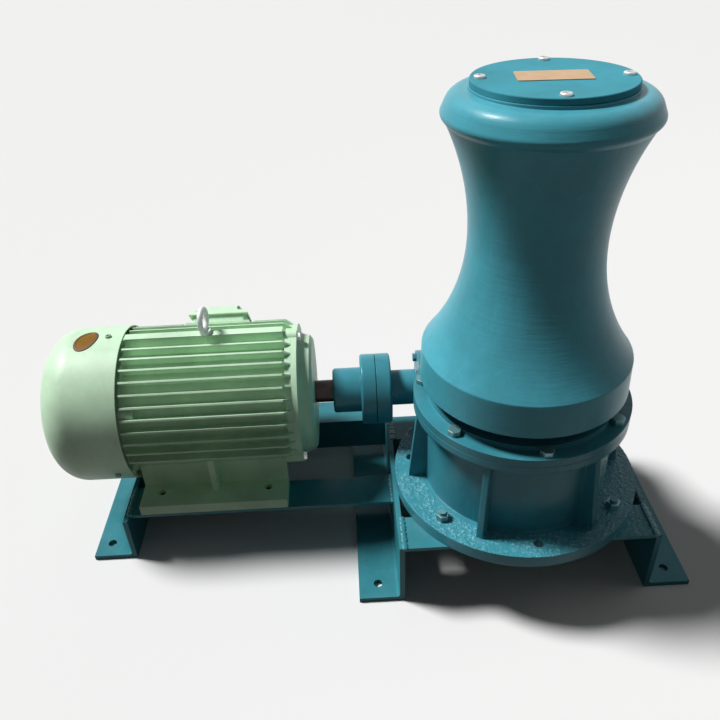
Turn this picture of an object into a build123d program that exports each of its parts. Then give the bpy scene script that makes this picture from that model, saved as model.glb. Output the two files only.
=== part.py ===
from build123d import *
import os
from math import acos, atan, cos, degrees, pi, radians, sin, sqrt, tan

# An electric capstan winch. A foot-mounted motor turns a worm through a flange coupling. The worm turns
# a worm wheel in the round base, and the wheel's upright shaft turns the waisted drum.
# Millimetres. X runs from the motor to the drum, Y away from the front, Z up. The origin is on the floor
# under the drum's axis. Angles round the drum are counted from the front, positive towards +X, and
# angles round the motor from the top, positive towards the front.

# Frame
bed_height = 118.0
leg_thickness = 8.0
leg_root_round = 5.6
foot_width = 72.0
bed_half_length = 189.0
bed_front_margin = 41.9
bed_back_margin = 16.5
rail_width = 63.0
rail_height = 63.0
rail_thickness = 6.0
motor_rail_overhang = 20.0
leg_overhang = 15.0
floor_hole_r = 7.0
floor_hole_inset = 41.0
floor_hole_y = 118.0
left_floor_hole_inset = 48.0
left_floor_hole_y = 127.0

# Worm gear
gear_axis_height = 99.0
gear_module = 5.0
wheel_teeth = 40
worm_pitch_r = 25.0
pressure_angle = 20.0
tooth_backlash = 0.8
tooth_root_gap = 1.0
thread_sink = 1.0
wheel_face_width = 36.0
worm_turns = 6
wheel_rim_depth = 14.0
wheel_web_inset = 14.0
wheel_web_recess = 10.8

# Fits
seat_gap = 0.05
running_gap = 0.3
key_gap = 0.1
bolt_gap = 0.5
past = 1.0

# Motor: heights and radii
motor_axis_height = 132.0
cowl_bed_gap = 2.0
cowl_wall = 2.0
cowl_fin_gap = 3.0
fin_height = 15.0
barrel_wall = 7.0
end_ring_rise = 6.0
shield_bolt_inset = 5.0
shield_step = 5.0
shield_wall = 10.0
shield_hub_wall = 8.0
fan_cowl_gap = 24.0
motor_journal_r = 20.0
motor_shaft_r = 19.0
motor_bearing_r = 45.0
rotor_seat_r = 24.0
rotor_r = 67.5
air_gap = 0.5
winding_inset = 8.0
winding_round = 6.0
winding_round_share = 0.4
cage_inset = 2.0
cage_depth = 21.5

# Motor: lengths
shaft_extension = 80.0
shaft_coupling_inset = 20.0
shield_inside_shoulder = 3.0
shield_length = 31.0
shield_flange_width = 9.0
shield_spigot = 8.0
bearing_end_gap = 1.0
shield_face = 14.0
shield_shoulder = 4.0
shield_edge = 4.0
shield_draft = 2.0
shield_edge_drop = 8.0
bearing_lip = 2.0
rear_hole_gap = 5.0
rear_hub_edge = 6.0
rear_hub_flare = 14.0
barrel_length = 268.0
rear_shield_depth = 28.0
bearing_inset = 12.0
motor_bearing_width = 23.0
shaft_collar_width = 5.0
core_length = 138.0
winding_overhang = 28.0
cage_width = 12.0
end_ring_width = 10.0
shield_lug_r = 10.0
shield_lug_length = 20.0
shield_bolt_length = 20.0
shield_bolts = 3
shield_bolt_angle = 0.0
rear_bolt_fin_steps = 5.5
fin_thickness = 3.6
fin_pitch = 9.2
first_fin_angle = 12.7
fins_each_side = 11
fin_end_slope = 13.0
fin_root = 2.0
top_land_width = 16.0
top_land_rise = 2.5
foot_hole_to_shoulder = 89.0
foot_hole_spacing_x = 178.0
foot_hole_spacing_y = 216.0
foot_span_y = 280.0
foot_length = 244.0
motor_foot_thickness = 18.0
motor_foot_width = 62.0
foot_bolt_recess = 7.0
foot_web_thickness = 11.0
foot_rib_depth = 30.0
foot_rib_drop = 49.0
foot_fit_gap = 0.2

# Motor: cowl and fan
cowl_edge_gap = 3.0
cowl_length = 131.0
cowl_round = 50.0
vent_hole_r = 4.5
vent_ring_step = 15.0
vent_rings = 4
vent_gap = 6.5
cowl_screws = 3
cowl_screw_angle = -1.0
cowl_screw_inset = 24.0
cowl_pad_width = 18.0
cowl_pad_end = 8.0
cowl_pad_depth = 8.0
fan_gap = 14.0
fan_width = 36.0
fan_hub_r = 32.0
fan_bore_r = 17.0
fan_blades = 8
fan_blade_inset = 2.0
fan_blade_thickness = 4.0

# Motor: terminal box and lifting eye
box_angle = -50.0
box_offset = 7.0
box_flange_size = 108.0
box_clearance = 6.0
box_flange_thickness = 6.0
box_wall_size = 92.0
box_wall = 5.0
box_depth = 20.0
box_post_r = 6.5
box_post_inset = 9.0
box_round = 6.0
lid_lip = 4.0
lid_edge = 2.0
lid_thickness = 20.0
lid_slope = 13.0
lid_screw_drop = 12.0
lid_hollow_size = 54.0
lid_top_wall = 5.0
gland_r = 11.0
gland_thread_r = 8.0
gland_bore_r = 5.0
gland_nut = 10.0
gland_length = 22.0
gland_boss_width = 26.0
gland_room = 2.0
gland_neck_share = 0.9
gland_inside = 6.0
eye_angle = 0.0
eye_offset = -4.0
eye_turn = -7.0
eye_sink_share = 0.4
eye_boss_r = 9.5
eye_collar_r = 9.5
eye_collar_height = 6.0
eye_thread_length = 10.0
eye_ring_r = 17.0
eye_wire_r = 4.5

# Coupling
coupling_flange_r = 60.0
coupling_flange_width = 25.0
motor_hub_r = 38.0
motor_hub_length = 47.0
motor_hub_chamfer = 3.0
worm_hub_r = 30.0
worm_hub_length = 43.0
hub_cover_gap = 4.0
coupling_face_gap = 1.0
coupling_bolt_pcd_r = 49.0
coupling_bolts = 4
coupling_bolt_angle = 45.0
bolt_end_inset = 1.0
coupling_round = 4.0
bolt_recess_r = 8.5
bolt_recess_depth = 9.0
key_width = 10.0
key_height = 8.0
key_sunk_share = 0.6
key_end = 4.0

# Worm shaft and its bearings
worm_shaft_inset = 9.0
worm_shaft_r = 17.5
worm_journal_r = 20.0
worm_bearing_r = 40.0
worm_bearing_width = 18.0
worm_shoulder_r = 22.0
tunnel_wall = 10.0
tunnel_half_length = 135.0
tunnel_flange_rise = 12.0
tunnel_flange_width = 12.0
worm_cover_thickness = 8.0
worm_cover_lip = 4.0
worm_cover_lip_wall = 8.0
worm_seal_r = 27.0
seal_inset = 1.0
thread_run_out = 0.75
worm_screw_length = 14.0

# Base
body_r = 143.0
body_wall = 12.0
base_floor = 16.0
foot_flange_width = 49.0
foot_flange_thickness = 20.0
top_flange_width = 19.0
top_flange_thickness = 13.0
base_top_margin = 4.0
cover_thickness = 12.0
cover_pad_inset = 22.0
cover_pad_height = 6.0
bolt_count = 7
bolt_turn = 1.3
rib_pitch = 60.0
first_rib_angle = -88.0
rib_count = 4
rib_thickness = 10.0
rib_foot_inset = 21.0
rib_top_inset = 5.0
cover_bolt_inset = 13.0
base_bolt_inset = 25.0
bolt_hole_r = 7.0
sleeve_wall = 11.0
sleeve_height = 135.0
sleeve_bore_r = 40.0

# Main shaft
main_journal_r = 27.5
main_lower_bearing_r = 50.0
main_lower_bearing_width = 21.0
lower_bearing_lift = 4.0
lower_boss_wall = 13.0
lower_seat_width = 9.0
main_upper_r = 30.0
main_upper_bearing_r = 55.0
main_upper_bearing_width = 22.0
upper_bearing_drop = 3.0
wheel_seat_r = 32.5
wheel_hub_r = 48.0
wheel_hub_height = 60.0
drum_seat_r = 25.0
shaft_collar_r = 36.0
main_seal_lift = 2.0
main_seal_height = 10.0
wheel_key_size = (18.0, 11.0)
drum_key_size = (14.0, 9.0)
upright_key_end = 2.0
nut_thread_r = 21.0
nut_flats = 58.8
nut_height = 14.0
thread_past_nut = 4.0

# Drum
skirt_gap = 30.5
skirt_bottom_r = 152.0
skirt_top_r = 150.5
skirt_height = 51.0
skirt_round = 4.0
waist_r = 91.5
waist_rise = 173.5
rim_crease_rise = 149.5
rim_crease_r = 125.6
rim_edge_r = 133.5
rim_edge_rise = 9.2
rim_edge_round = 8.0
rim_top_r = 121.8
rim_top_rise = 26.8
rim_top_round = 22.0
shoulder_rise = 2.0
neck_r = 100.0
neck_height = 3.5
drum_wall = 13.0
drum_recess_r = 74.0
drum_recess_depth = 29.0
drum_web_thickness = 22.0
drum_hub_r = 48.0
drum_hub_length = 72.0
cap_overhang = 2.0
cap_thickness = 8.0
cap_chamfer = 1.0
cap_spigot = 6.0
cap_screw_inset = 14.0
cap_screw_angle = -6.0
cap_screws = 4
cap_screw_length = 14.0

# Fasteners: across flats, head height, nut height, shank radius
m12_flats = 18.0
spot_face_share = 0.62
head_corner_share = 0.56
pan_round_share = 0.45
slot_length_share = 1.1
slot_width_share = 0.28
slot_depth_share = 0.7
ball_share = 0.26
m12_head = 8.0
m12_nut = 10.0
m12_r = 6.0
m12_past_nut = 5.0
m10_r = 5.0
m8_flats = 13.0
m8_head = 5.5
m8_nut = 6.5
m8_r = 4.0
m8_pan_r = 7.0
m8_pan = 3.5
m5_r = 2.5
m5_pan_r = 5.0
m5_pan = 3.0
m5_length = 9.0
box_screw_length = 20.0
tap_depth = 4.0

# Gear and heights worked out from those sizes
lead = pi * gear_module
addendum = gear_module
dedendum = gear_module + tooth_root_gap
wheel_pitch_r = gear_module * wheel_teeth / 2
wheel_rim_inner_r = wheel_pitch_r - dedendum - wheel_rim_depth
axis_y = wheel_pitch_r + worm_pitch_r
axis_z = bed_height + gear_axis_height
motor_bed_height = axis_z - motor_axis_height
motor_axis = Axis((0, axis_y, axis_z), (1, 0, 0))

# Motor radii from the shaft's height inwards
cowl_r = motor_axis_height - cowl_bed_gap
cowl_inner_r = cowl_r - cowl_wall
fin_tip_r = cowl_r - cowl_fin_gap
barrel_r = fin_tip_r - fin_height
barrel_bore_r = barrel_r - barrel_wall
end_ring_r = barrel_r + end_ring_rise
shield_bolt_pcd_r = end_ring_r - shield_bolt_inset
shield_r = barrel_bore_r - shield_step
fan_r = cowl_inner_r - fan_cowl_gap
box_flange_base = barrel_r
box_height = box_flange_base + box_depth
eye_boss_top = fin_tip_r + top_land_rise

# Places along the drive, from the gear base out to the fan
tunnel_bore_r = worm_bearing_r + seat_gap
tunnel_r = worm_bearing_r + tunnel_wall
tunnel_flange_r = tunnel_r + tunnel_flange_rise
worm_cover_screw_pcd_r = (tunnel_bore_r + tunnel_flange_r) / 2
worm_bearing_x = tunnel_half_length - worm_bearing_width - worm_cover_lip
worm_hub_right_x = -tunnel_half_length - worm_cover_thickness - hub_cover_gap
flange_right_x = worm_hub_right_x - worm_hub_length
worm_flange_x = flange_right_x - coupling_flange_width
coupling_split_x = worm_flange_x - coupling_face_gap
flange_left_x = coupling_split_x - coupling_flange_width
motor_hub_left_x = flange_left_x - motor_hub_length
worm_shaft_left_x = worm_flange_x + worm_shaft_inset
shaft_end_x = coupling_split_x - shaft_coupling_inset
shoulder_x = shaft_end_x - shaft_extension
shield_right_x = shoulder_x - shield_inside_shoulder
barrel_right_x = shield_right_x - shield_length
barrel_left_x = barrel_right_x - barrel_length
barrel_middle_x = (barrel_left_x + barrel_right_x) / 2
core_left_x = barrel_middle_x - core_length / 2
core_right_x = barrel_middle_x + core_length / 2
drive_bearing_x = shoulder_x - bearing_inset - motor_bearing_width
rear_face_x = barrel_left_x - rear_shield_depth
rear_bearing_x = rear_face_x + bearing_inset
rear_bearing_end_x = rear_bearing_x + motor_bearing_width
rear_flange_x = barrel_left_x - shield_flange_width
cowl_front_x = barrel_left_x - cowl_edge_gap
cowl_back_x = cowl_front_x - cowl_length
cowl_screw_x = cowl_front_x - cowl_screw_inset
fan_right_x = rear_face_x - fan_gap
fan_x = fan_right_x - fan_width
box_x = barrel_middle_x + box_offset
eye_x = barrel_middle_x + eye_offset
foot_hole_x = [shoulder_x - foot_hole_to_shoulder - foot_hole_spacing_x * i for i in range(2)]
foot_hole_y = [axis_y - foot_hole_spacing_y / 2, axis_y + foot_hole_spacing_y / 2]
foot_middle_x = sum(foot_hole_x) / 2
foot_x = (foot_middle_x - foot_length / 2, foot_middle_x + foot_length / 2)

# Heights and radii of the base and the drum
foot_flange_r = body_r + foot_flange_width
top_flange_r = body_r + top_flange_width
base_bolt_pcd_r = foot_flange_r - base_bolt_inset
cover_bolt_pcd_r = top_flange_r - cover_bolt_inset
cavity_r = body_r - body_wall
foot_top_z = bed_height + foot_flange_thickness
base_floor_z = bed_height + base_floor
lower_bearing_z = base_floor_z + lower_bearing_lift
lower_boss_z = lower_bearing_z + main_lower_bearing_width
base_top_z = axis_z + tunnel_flange_r + base_top_margin
cover_top_z = base_top_z + cover_thickness
sleeve_r = main_upper_bearing_r + sleeve_wall
sleeve_top_z = cover_top_z + sleeve_height
upper_bearing_z = sleeve_top_z - main_upper_bearing_width - upper_bearing_drop
skirt_z = cover_top_z + skirt_gap
crease_z = skirt_z + skirt_height
waist_z = crease_z + waist_rise
rim_crease_z = waist_z + rim_crease_rise
rim_edge_z = rim_crease_z + rim_edge_rise
rim_top_z = rim_edge_z + rim_top_rise
shoulder_z = rim_top_z + shoulder_rise
neck_z = shoulder_z + neck_height
drum_recess_z = neck_z - drum_recess_depth
drum_hub_z = drum_recess_z - drum_hub_length
hub_z0 = axis_z - wheel_hub_height / 2
hub_z1 = axis_z + wheel_hub_height / 2

# Bolts and ribs round the base
bolt_pitch = 360.0 / bolt_count
bolt_angles = [bolt_turn + bolt_pitch * i for i in range(bolt_count)]
rib_angles = [first_rib_angle + rib_pitch * i for i in range(rib_count)]
back_bolt = bolt_count // 2
frame_bolt_angles = [bolt_angles[i] for i in sorted({1, bolt_count - 1, back_bolt, bolt_count - back_bolt})]
quarter_angles = [45, 135, 225, 315]
shield_bolt_angles = [shield_bolt_angle + 360 * i / shield_bolts for i in range(shield_bolts)]
rear_bolt_angle = first_fin_angle + fin_pitch * rear_bolt_fin_steps
rear_bolt_angles = [rear_bolt_angle + 360 * i / shield_bolts for i in range(shield_bolts)]

# Edges of the frame
bed_front_y = -base_bolt_pcd_r * cos(radians(bolt_pitch)) - bed_front_margin
bed_back_y = -base_bolt_pcd_r * cos(radians(bolt_pitch * back_bolt)) + bed_back_margin
motor_rail_front_y = axis_y - foot_span_y / 2
motor_rail_back_y = axis_y + foot_span_y / 2
left_face_x = foot_x[0] - motor_rail_overhang
middle_face_x = -bed_half_length - leg_thickness
on_seat = (Align.CENTER, Align.CENTER, Align.MIN)

nodes = {}


# Simple shapes placed by their ends
def block(x0, x1, y0, y1, z0, z1):
    return Pos((x0 + x1) / 2, (y0 + y1) / 2, (z0 + z1) / 2) * Box(x1 - x0, y1 - y0, z1 - z0)


def rod_z(r, z0, z1, x=0.0, y=0.0):
    return Pos(x, y, (z0 + z1) / 2) * Cylinder(r, z1 - z0)


def rod_x(r, x0, x1, y=axis_y, z=axis_z):
    return Pos((x0 + x1) / 2, y, z) * Rot(0, 90, 0) * Cylinder(r, x1 - x0)


def ring_z(outer, inner, z0, z1):
    return rod_z(outer, z0, z1) - rod_z(inner, z0, z1)


def ring_x(outer, inner, x0, x1):
    return rod_x(outer, x0, x1) - rod_x(inner, x0, x1)


def turned_x(points):
    """Turn an outline of place along the axis and radius about the motor's axis."""
    outline = Polyline(*[(x, axis_y + r, axis_z) for x, r in points], close=True)
    return revolve(make_face(outline), motor_axis, 360)


def around_drum(r, angle):
    return r * sin(radians(angle)), -r * cos(radians(angle))


def around_motor(angle):
    """Local +Z points outwards from the motor's axis at this angle, and local X stays along it."""
    return Pos(0, axis_y, axis_z) * Rot(angle, 0, 0)


def hexagon(flats, height):
    return extrude(RegularPolygon(flats / 2, 6, major_radius=False), height)


def hex_bolt(flats, head, r, length):
    """Head above z = 0, shank below."""
    top = hexagon(flats, head)
    top = top & Cylinder(flats * head_corner_share, 2 * head)
    return top + Pos(0, 0, -length / 2) * Cylinder(r, length)


def hex_nut(flats, height, r):
    return hexagon(flats, height) - Cylinder(r, 3 * height)


def pan_screw(head_r, head, r, length):
    """A cross-slotted pan head above z = 0, shank below."""
    top = Pos(0, 0, head / 2) * Cylinder(head_r, head)
    top = fillet(top.edges().group_by(Axis.Z)[-1], head * pan_round_share)
    for turn in (0, 90):
        slot = Box(head_r * slot_length_share, head_r * slot_width_share, head * slot_depth_share)
        top -= Pos(0, 0, head) * Rot(0, 0, turn) * slot
    return top + Pos(0, 0, -length / 2) * Cylinder(r, length)


def bearing_rings(bore, outer):
    """Radii of a ball bearing: inner ring's outside, outer ring's inside, ball and ball circle."""
    middle = (bore + outer) / 2
    ball = (outer - bore) * ball_share
    return middle - ball - running_gap, middle + ball + running_gap, ball, middle


def keep(name, *solids):
    """Hold a node's solids under its name."""
    found = []
    for item in solids:
        found += item.solids()
    nodes[name] = found


# Frame: three angle legs across, two rails under the base and two under the motor
def angle_leg(face_x, toward, top, y0, y1):
    """An angle whose upright stands at face_x and whose foot reaches the other way."""
    upright = block(*sorted((face_x, face_x + toward * leg_thickness)), y0, y1, 0, top)
    foot = block(*sorted((face_x, face_x + toward * foot_width)), y0, y1, 0, leg_thickness)
    leg = upright + foot
    inner = leg.edges().filter_by(Axis.Y).sort_by_distance(
        (face_x + toward * leg_thickness, (y0 + y1) / 2, leg_thickness))[0]
    return fillet(inner, leg_root_round)


def rail(x0, x1, edge_y, inward, top):
    """An angle rail: a flat top from edge_y inwards, and a web down from its inner edge."""
    inner_y = edge_y + inward * rail_width
    flat = block(x0, x1, *sorted((edge_y, inner_y)), top - rail_thickness, top)
    web = block(x0, x1, *sorted((inner_y, inner_y - inward * rail_thickness)), top - rail_height, top)
    return flat + web


left_angle = angle_leg(left_face_x, -1, motor_bed_height,
                       motor_rail_front_y - leg_overhang, motor_rail_back_y + leg_overhang)
for y in (axis_y - left_floor_hole_y, axis_y + left_floor_hole_y):
    left_angle -= rod_z(floor_hole_r, -past, leg_thickness + past, left_face_x - left_floor_hole_inset, y)
keep("left_end_angle", left_angle)

middle_angle = angle_leg(-bed_half_length, -1, bed_height,
                         bed_front_y, motor_rail_back_y + leg_overhang)
right_angle = angle_leg(bed_half_length, 1, bed_height, bed_front_y, bed_back_y)
floor_hole_x = bed_half_length + floor_hole_inset
for y in (-floor_hole_y, floor_hole_y):
    middle_angle -= rod_z(floor_hole_r, -past, leg_thickness + past, -floor_hole_x, y)
    right_angle -= rod_z(floor_hole_r, -past, leg_thickness + past, floor_hole_x, y)
keep("middle_angle", middle_angle)
keep("right_end_angle", right_angle)

front_rail = rail(-bed_half_length, bed_half_length, bed_front_y, 1, bed_height)
back_rail = rail(-bed_half_length, bed_half_length, bed_back_y, -1, bed_height)
for angle in frame_bolt_angles:
    x, y = around_drum(base_bolt_pcd_r, angle)
    hole = rod_z(bolt_hole_r, bed_height - rail_thickness - past, bed_height + past, x, y)
    front_rail -= hole
    back_rail -= hole
keep("front_bed_rail", front_rail)
keep("back_bed_rail", back_rail)

front_motor_rail = rail(left_face_x, middle_face_x, motor_rail_front_y, 1, motor_bed_height)
back_motor_rail = rail(left_face_x, middle_face_x, motor_rail_back_y, -1, motor_bed_height)
for x in foot_hole_x:
    for y in foot_hole_y:
        hole = rod_z(bolt_hole_r, motor_bed_height - rail_thickness - past, motor_bed_height + past, x, y)
        front_motor_rail -= hole
        back_motor_rail -= hole
keep("front_motor_rail", front_motor_rail)
keep("back_motor_rail", back_motor_rail)

# Motor frame: a finned barrel on two feet
barrel = rod_x(barrel_r, barrel_left_x, barrel_right_x)
barrel += rod_x(end_ring_r, barrel_right_x - end_ring_width, barrel_right_x)
fin_foot_r = barrel_r - fin_root
fin_outline = Polyline((barrel_left_x, 0, fin_foot_r), (barrel_left_x, 0, fin_tip_r),
                       (barrel_right_x - fin_end_slope, 0, fin_tip_r), (barrel_right_x, 0, end_ring_r),
                       (barrel_right_x, 0, fin_foot_r), close=True)
fin = extrude(make_face(fin_outline), fin_thickness / 2, both=True)
barrel += around_motor(0) * block(barrel_left_x, barrel_right_x - fin_end_slope, -top_land_width / 2,
                                  top_land_width / 2, fin_foot_r, eye_boss_top)
fin_angles = [first_fin_angle + fin_pitch * i for i in range(fins_each_side)]
for angle in fin_angles + [-a for a in fin_angles]:
    barrel += around_motor(angle) * fin
boss = Pos(eye_x, 0, 0) * Cylinder(eye_boss_r, eye_boss_top, align=on_seat)
barrel += around_motor(eye_angle) * boss
box_space = Pos(box_x, 0, box_flange_base) * Box(
    box_flange_size + 2 * box_clearance, box_flange_size + 2 * box_clearance, box_height, align=on_seat)
barrel -= around_motor(box_angle) * box_space
gland_space = Pos(box_x, box_flange_size / 2, box_flange_base + box_depth / 2) * Rot(-90, 0, 0) * Cylinder(
    gland_r / cos(radians(30)) + gland_room, box_flange_size, align=on_seat)
barrel -= around_motor(box_angle) * gland_space
box_seat = Pos(box_x, 0, 0) * Box(box_flange_size, box_flange_size, box_flange_base, align=on_seat)
barrel += around_motor(box_angle) * box_seat
lug = Pos(0, 0, shield_bolt_pcd_r) * Rot(0, 90, 0) * Cylinder(shield_lug_r, shield_lug_length)
for angle in shield_bolt_angles:
    barrel += around_motor(angle) * Pos(barrel_right_x - shield_lug_length / 2, 0, 0) * lug
for angle in rear_bolt_angles:
    barrel += around_motor(angle) * Pos(barrel_left_x + shield_lug_length / 2, 0, 0) * lug
barrel -= rod_x(barrel_bore_r, barrel_left_x - past, barrel_right_x + past)
shield_hole_depth = shield_bolt_length - shield_flange_width + tap_depth
hole = Pos(0, 0, shield_bolt_pcd_r) * Rot(0, 90, 0) * Cylinder(m8_r, 2 * shield_hole_depth)
for angle in shield_bolt_angles:
    barrel -= around_motor(angle) * Pos(barrel_right_x, 0, 0) * hole
for angle in rear_bolt_angles:
    barrel -= around_motor(angle) * Pos(barrel_left_x, 0, 0) * hole
eye_tap = Cylinder(m10_r, 2 * (eye_thread_length + tap_depth))
barrel -= around_motor(eye_angle) * Pos(eye_x, 0, eye_boss_top) * eye_tap
keep("motor_frame", barrel)

# Motor feet: a pad, a web up to the barrel and a rib on each side
feet = []
for side, hole_y in zip((-1, 1), foot_hole_y):
    outer = axis_y + side * foot_span_y / 2
    inner = outer - side * motor_foot_width
    web = inner + side * foot_web_thickness
    pad_y = sorted((outer, inner))
    web_y = sorted((inner, web))
    rib_y = sorted((inner, inner + side * foot_rib_depth))
    foot_top = motor_bed_height + motor_foot_thickness
    rib_top = axis_z - foot_rib_drop
    foot = block(*foot_x, *pad_y, motor_bed_height, foot_top)
    foot += block(max(barrel_left_x, foot_x[0]), foot_x[1], *web_y, motor_bed_height, rib_top)
    foot += block(foot_middle_x - foot_web_thickness / 2, foot_middle_x + foot_web_thickness / 2, *rib_y,
                  motor_bed_height, rib_top)
    foot -= rod_x(barrel_r + foot_fit_gap, foot_x[0] - past, foot_x[1] + past)
    for x in foot_hole_x:
        foot -= rod_z(m12_r, motor_bed_height - past, foot_top + past, x, hole_y)
    feet.append(foot)
keep("motor_feet", *feet)

# End shields
bore_fit_r = barrel_bore_r - seat_gap
bearing_fit_r = motor_bearing_r + seat_gap
shield_hub_r = motor_bearing_r + shield_hub_wall
shaft_hole_r = motor_shaft_r + running_gap
flange_face_x = barrel_right_x + shield_flange_width
shield_inner_x = shield_right_x - shield_face
drive_bearing_end_x = drive_bearing_x + motor_bearing_width
drive_shield = turned_x([
    (barrel_right_x - shield_spigot, bore_fit_r - shield_wall), (barrel_right_x - shield_spigot, bore_fit_r),
    (barrel_right_x, bore_fit_r), (barrel_right_x, end_ring_r), (flange_face_x, end_ring_r),
    (flange_face_x, shield_r + shield_shoulder), (flange_face_x + shield_flange_width, shield_r),
    (shield_right_x - shield_edge, shield_r - shield_draft), (shield_right_x, shield_r - shield_edge_drop),
    (shield_right_x, shaft_hole_r), (drive_bearing_end_x + bearing_end_gap, shaft_hole_r),
    (drive_bearing_end_x + bearing_end_gap, bearing_fit_r), (drive_bearing_x - bearing_lip, bearing_fit_r),
    (drive_bearing_x - bearing_lip, shield_hub_r), (shield_inner_x, shield_hub_r),
    (shield_inner_x, shield_r - shield_wall), (flange_face_x, shield_r - shield_wall)])
rear_hole_r = fan_bore_r + rear_hole_gap
rear_shield = turned_x([
    (barrel_left_x + shield_spigot, bore_fit_r - shield_wall), (barrel_left_x + shield_spigot, bore_fit_r),
    (barrel_left_x, bore_fit_r), (barrel_left_x, end_ring_r), (rear_flange_x, end_ring_r),
    (rear_flange_x, shield_r), (rear_face_x, shield_hub_r + rear_hub_edge), (rear_face_x, rear_hole_r),
    (rear_bearing_x - bearing_end_gap, rear_hole_r), (rear_bearing_x - bearing_end_gap, bearing_fit_r),
    (rear_bearing_end_x + bearing_end_gap, bearing_fit_r),
    (rear_bearing_end_x + bearing_end_gap, shield_hub_r),
    (rear_flange_x, shield_hub_r + rear_hub_flare)])
cowl_fit_r = cowl_inner_r - seat_gap
cowl_screw_angles = [cowl_screw_angle + 360 * i / cowl_screws for i in range(cowl_screws)]
pad_x = (cowl_screw_x - cowl_pad_end, barrel_left_x)
pad_reach = rod_x(cowl_fit_r, *pad_x)
for angle in cowl_screw_angles:
    pad_place = around_motor(angle)
    pad = block(*pad_x, -cowl_pad_width / 2, cowl_pad_width / 2, end_ring_r - cowl_pad_depth, cowl_r)
    tapped = Pos(cowl_screw_x, 0, cowl_fit_r) * Cylinder(m5_r, 2 * m5_length)
    rear_shield += (pad_place * pad) & pad_reach
    rear_shield -= pad_place * tapped
lug = Rot(0, 90, 0) * Cylinder(shield_lug_r, shield_flange_width)
lug_hole = Rot(0, 90, 0) * Cylinder(m8_r + bolt_gap, 2 * shield_flange_width)
for angle in shield_bolt_angles:
    place = around_motor(angle) * Pos(barrel_right_x + shield_flange_width / 2, 0, shield_bolt_pcd_r)
    drive_shield += place * lug
    drive_shield -= place * lug_hole
for angle in rear_bolt_angles:
    place = around_motor(angle) * Pos(barrel_left_x - shield_flange_width / 2, 0, shield_bolt_pcd_r)
    rear_shield += place * lug
    rear_shield -= place * lug_hole
keep("drive_end_shield", drive_shield)
keep("rear_end_shield", rear_shield)

bolt = hex_bolt(m8_flats, m8_head, m8_r - seat_gap, shield_bolt_length)
bolts = []
for angle in shield_bolt_angles:
    bolts.append(around_motor(angle) * Pos(flange_face_x, 0, shield_bolt_pcd_r) * Rot(0, 90, 0) * bolt)
for angle in rear_bolt_angles:
    bolts.append(around_motor(angle) * Pos(rear_flange_x, 0, shield_bolt_pcd_r) * Rot(0, -90, 0) * bolt)
keep("end_shield_bolts", *bolts)

# Fan cowl: a pressed cup with a rounded back and vent holes
def cowl_outline(x_back, r, corner):
    """Half outline from the axis to the open rim, with a round back corner."""
    edge = Line((x_back, axis_y, axis_z), (x_back, axis_y + r - corner, axis_z))
    bend = RadiusArc(edge @ 1, (x_back + corner, axis_y + r, axis_z), corner)
    side = Line(bend @ 1, (cowl_front_x, axis_y + r, axis_z))
    close = Polyline(side @ 1, (cowl_front_x, axis_y, axis_z), (x_back, axis_y, axis_z))
    return revolve(make_face([edge, bend, side] + close.edges()), motor_axis, 360)


cowl = cowl_outline(cowl_back_x, cowl_r, cowl_round)
cowl -= cowl_outline(cowl_back_x + cowl_wall, cowl_inner_r, cowl_round - cowl_wall)
vents = [rod_x(vent_hole_r, cowl_back_x - past, cowl_back_x + cowl_wall + past)]
for ring in range(1, vent_rings + 1):
    ring_r = ring * vent_ring_step
    count = int(2 * pi * ring_r / (2 * vent_hole_r + vent_gap))
    for i in range(count):
        turn = 2 * pi * i / count
        vents.append(rod_x(vent_hole_r, cowl_back_x - past, cowl_back_x + cowl_wall + past,
                           axis_y + ring_r * cos(turn), axis_z + ring_r * sin(turn)))
cowl -= vents
screws = []
for angle in cowl_screw_angles:
    place = around_motor(angle) * Pos(cowl_screw_x, 0, cowl_r)
    cowl -= place * Cylinder(m5_r + bolt_gap, 2 * m5_length)
    screws.append(place * pan_screw(m5_pan_r, m5_pan, m5_r - seat_gap, m5_length))
keep("fan_cowl", cowl)
keep("cowl_screws", *screws)

# Stator, rotor and motor shaft
keep("stator_core", ring_x(bore_fit_r, rotor_r + air_gap, core_left_x, core_right_x))
winding_in_r = rotor_r + winding_inset
winding_out_r = bore_fit_r - winding_inset
winding_edge = min(winding_round, (winding_out_r - winding_in_r) * winding_round_share)
windings = [ring_x(winding_out_r, winding_in_r, core_left_x - winding_overhang, core_left_x),
            ring_x(winding_out_r, winding_in_r, core_right_x, core_right_x + winding_overhang)]
keep("stator_windings", *[fillet(w.edges(), winding_edge) for w in windings])
keep("rotor_core", ring_x(rotor_r, rotor_seat_r + seat_gap, core_left_x, core_right_x))
cage_r = rotor_r - cage_inset
keep("rotor_cage", ring_x(cage_r, cage_r - cage_depth, core_left_x - cage_width, core_left_x),
     ring_x(cage_r, cage_r - cage_depth, core_right_x, core_right_x + cage_width))

motor_shaft = rod_x(fan_bore_r, fan_x, rear_bearing_x)
motor_shaft += rod_x(motor_journal_r, rear_bearing_x, core_left_x)
motor_shaft += rod_x(rotor_seat_r, core_left_x, core_right_x)
motor_shaft += rod_x(motor_journal_r, core_right_x, drive_bearing_end_x)
motor_shaft += rod_x(motor_shaft_r, drive_bearing_end_x, shaft_end_x)
motor_shaft += rod_x(rotor_seat_r, rear_bearing_end_x, rear_bearing_end_x + shaft_collar_width)
motor_shaft += rod_x(rotor_seat_r, drive_bearing_x - shaft_collar_width, drive_bearing_x)


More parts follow.
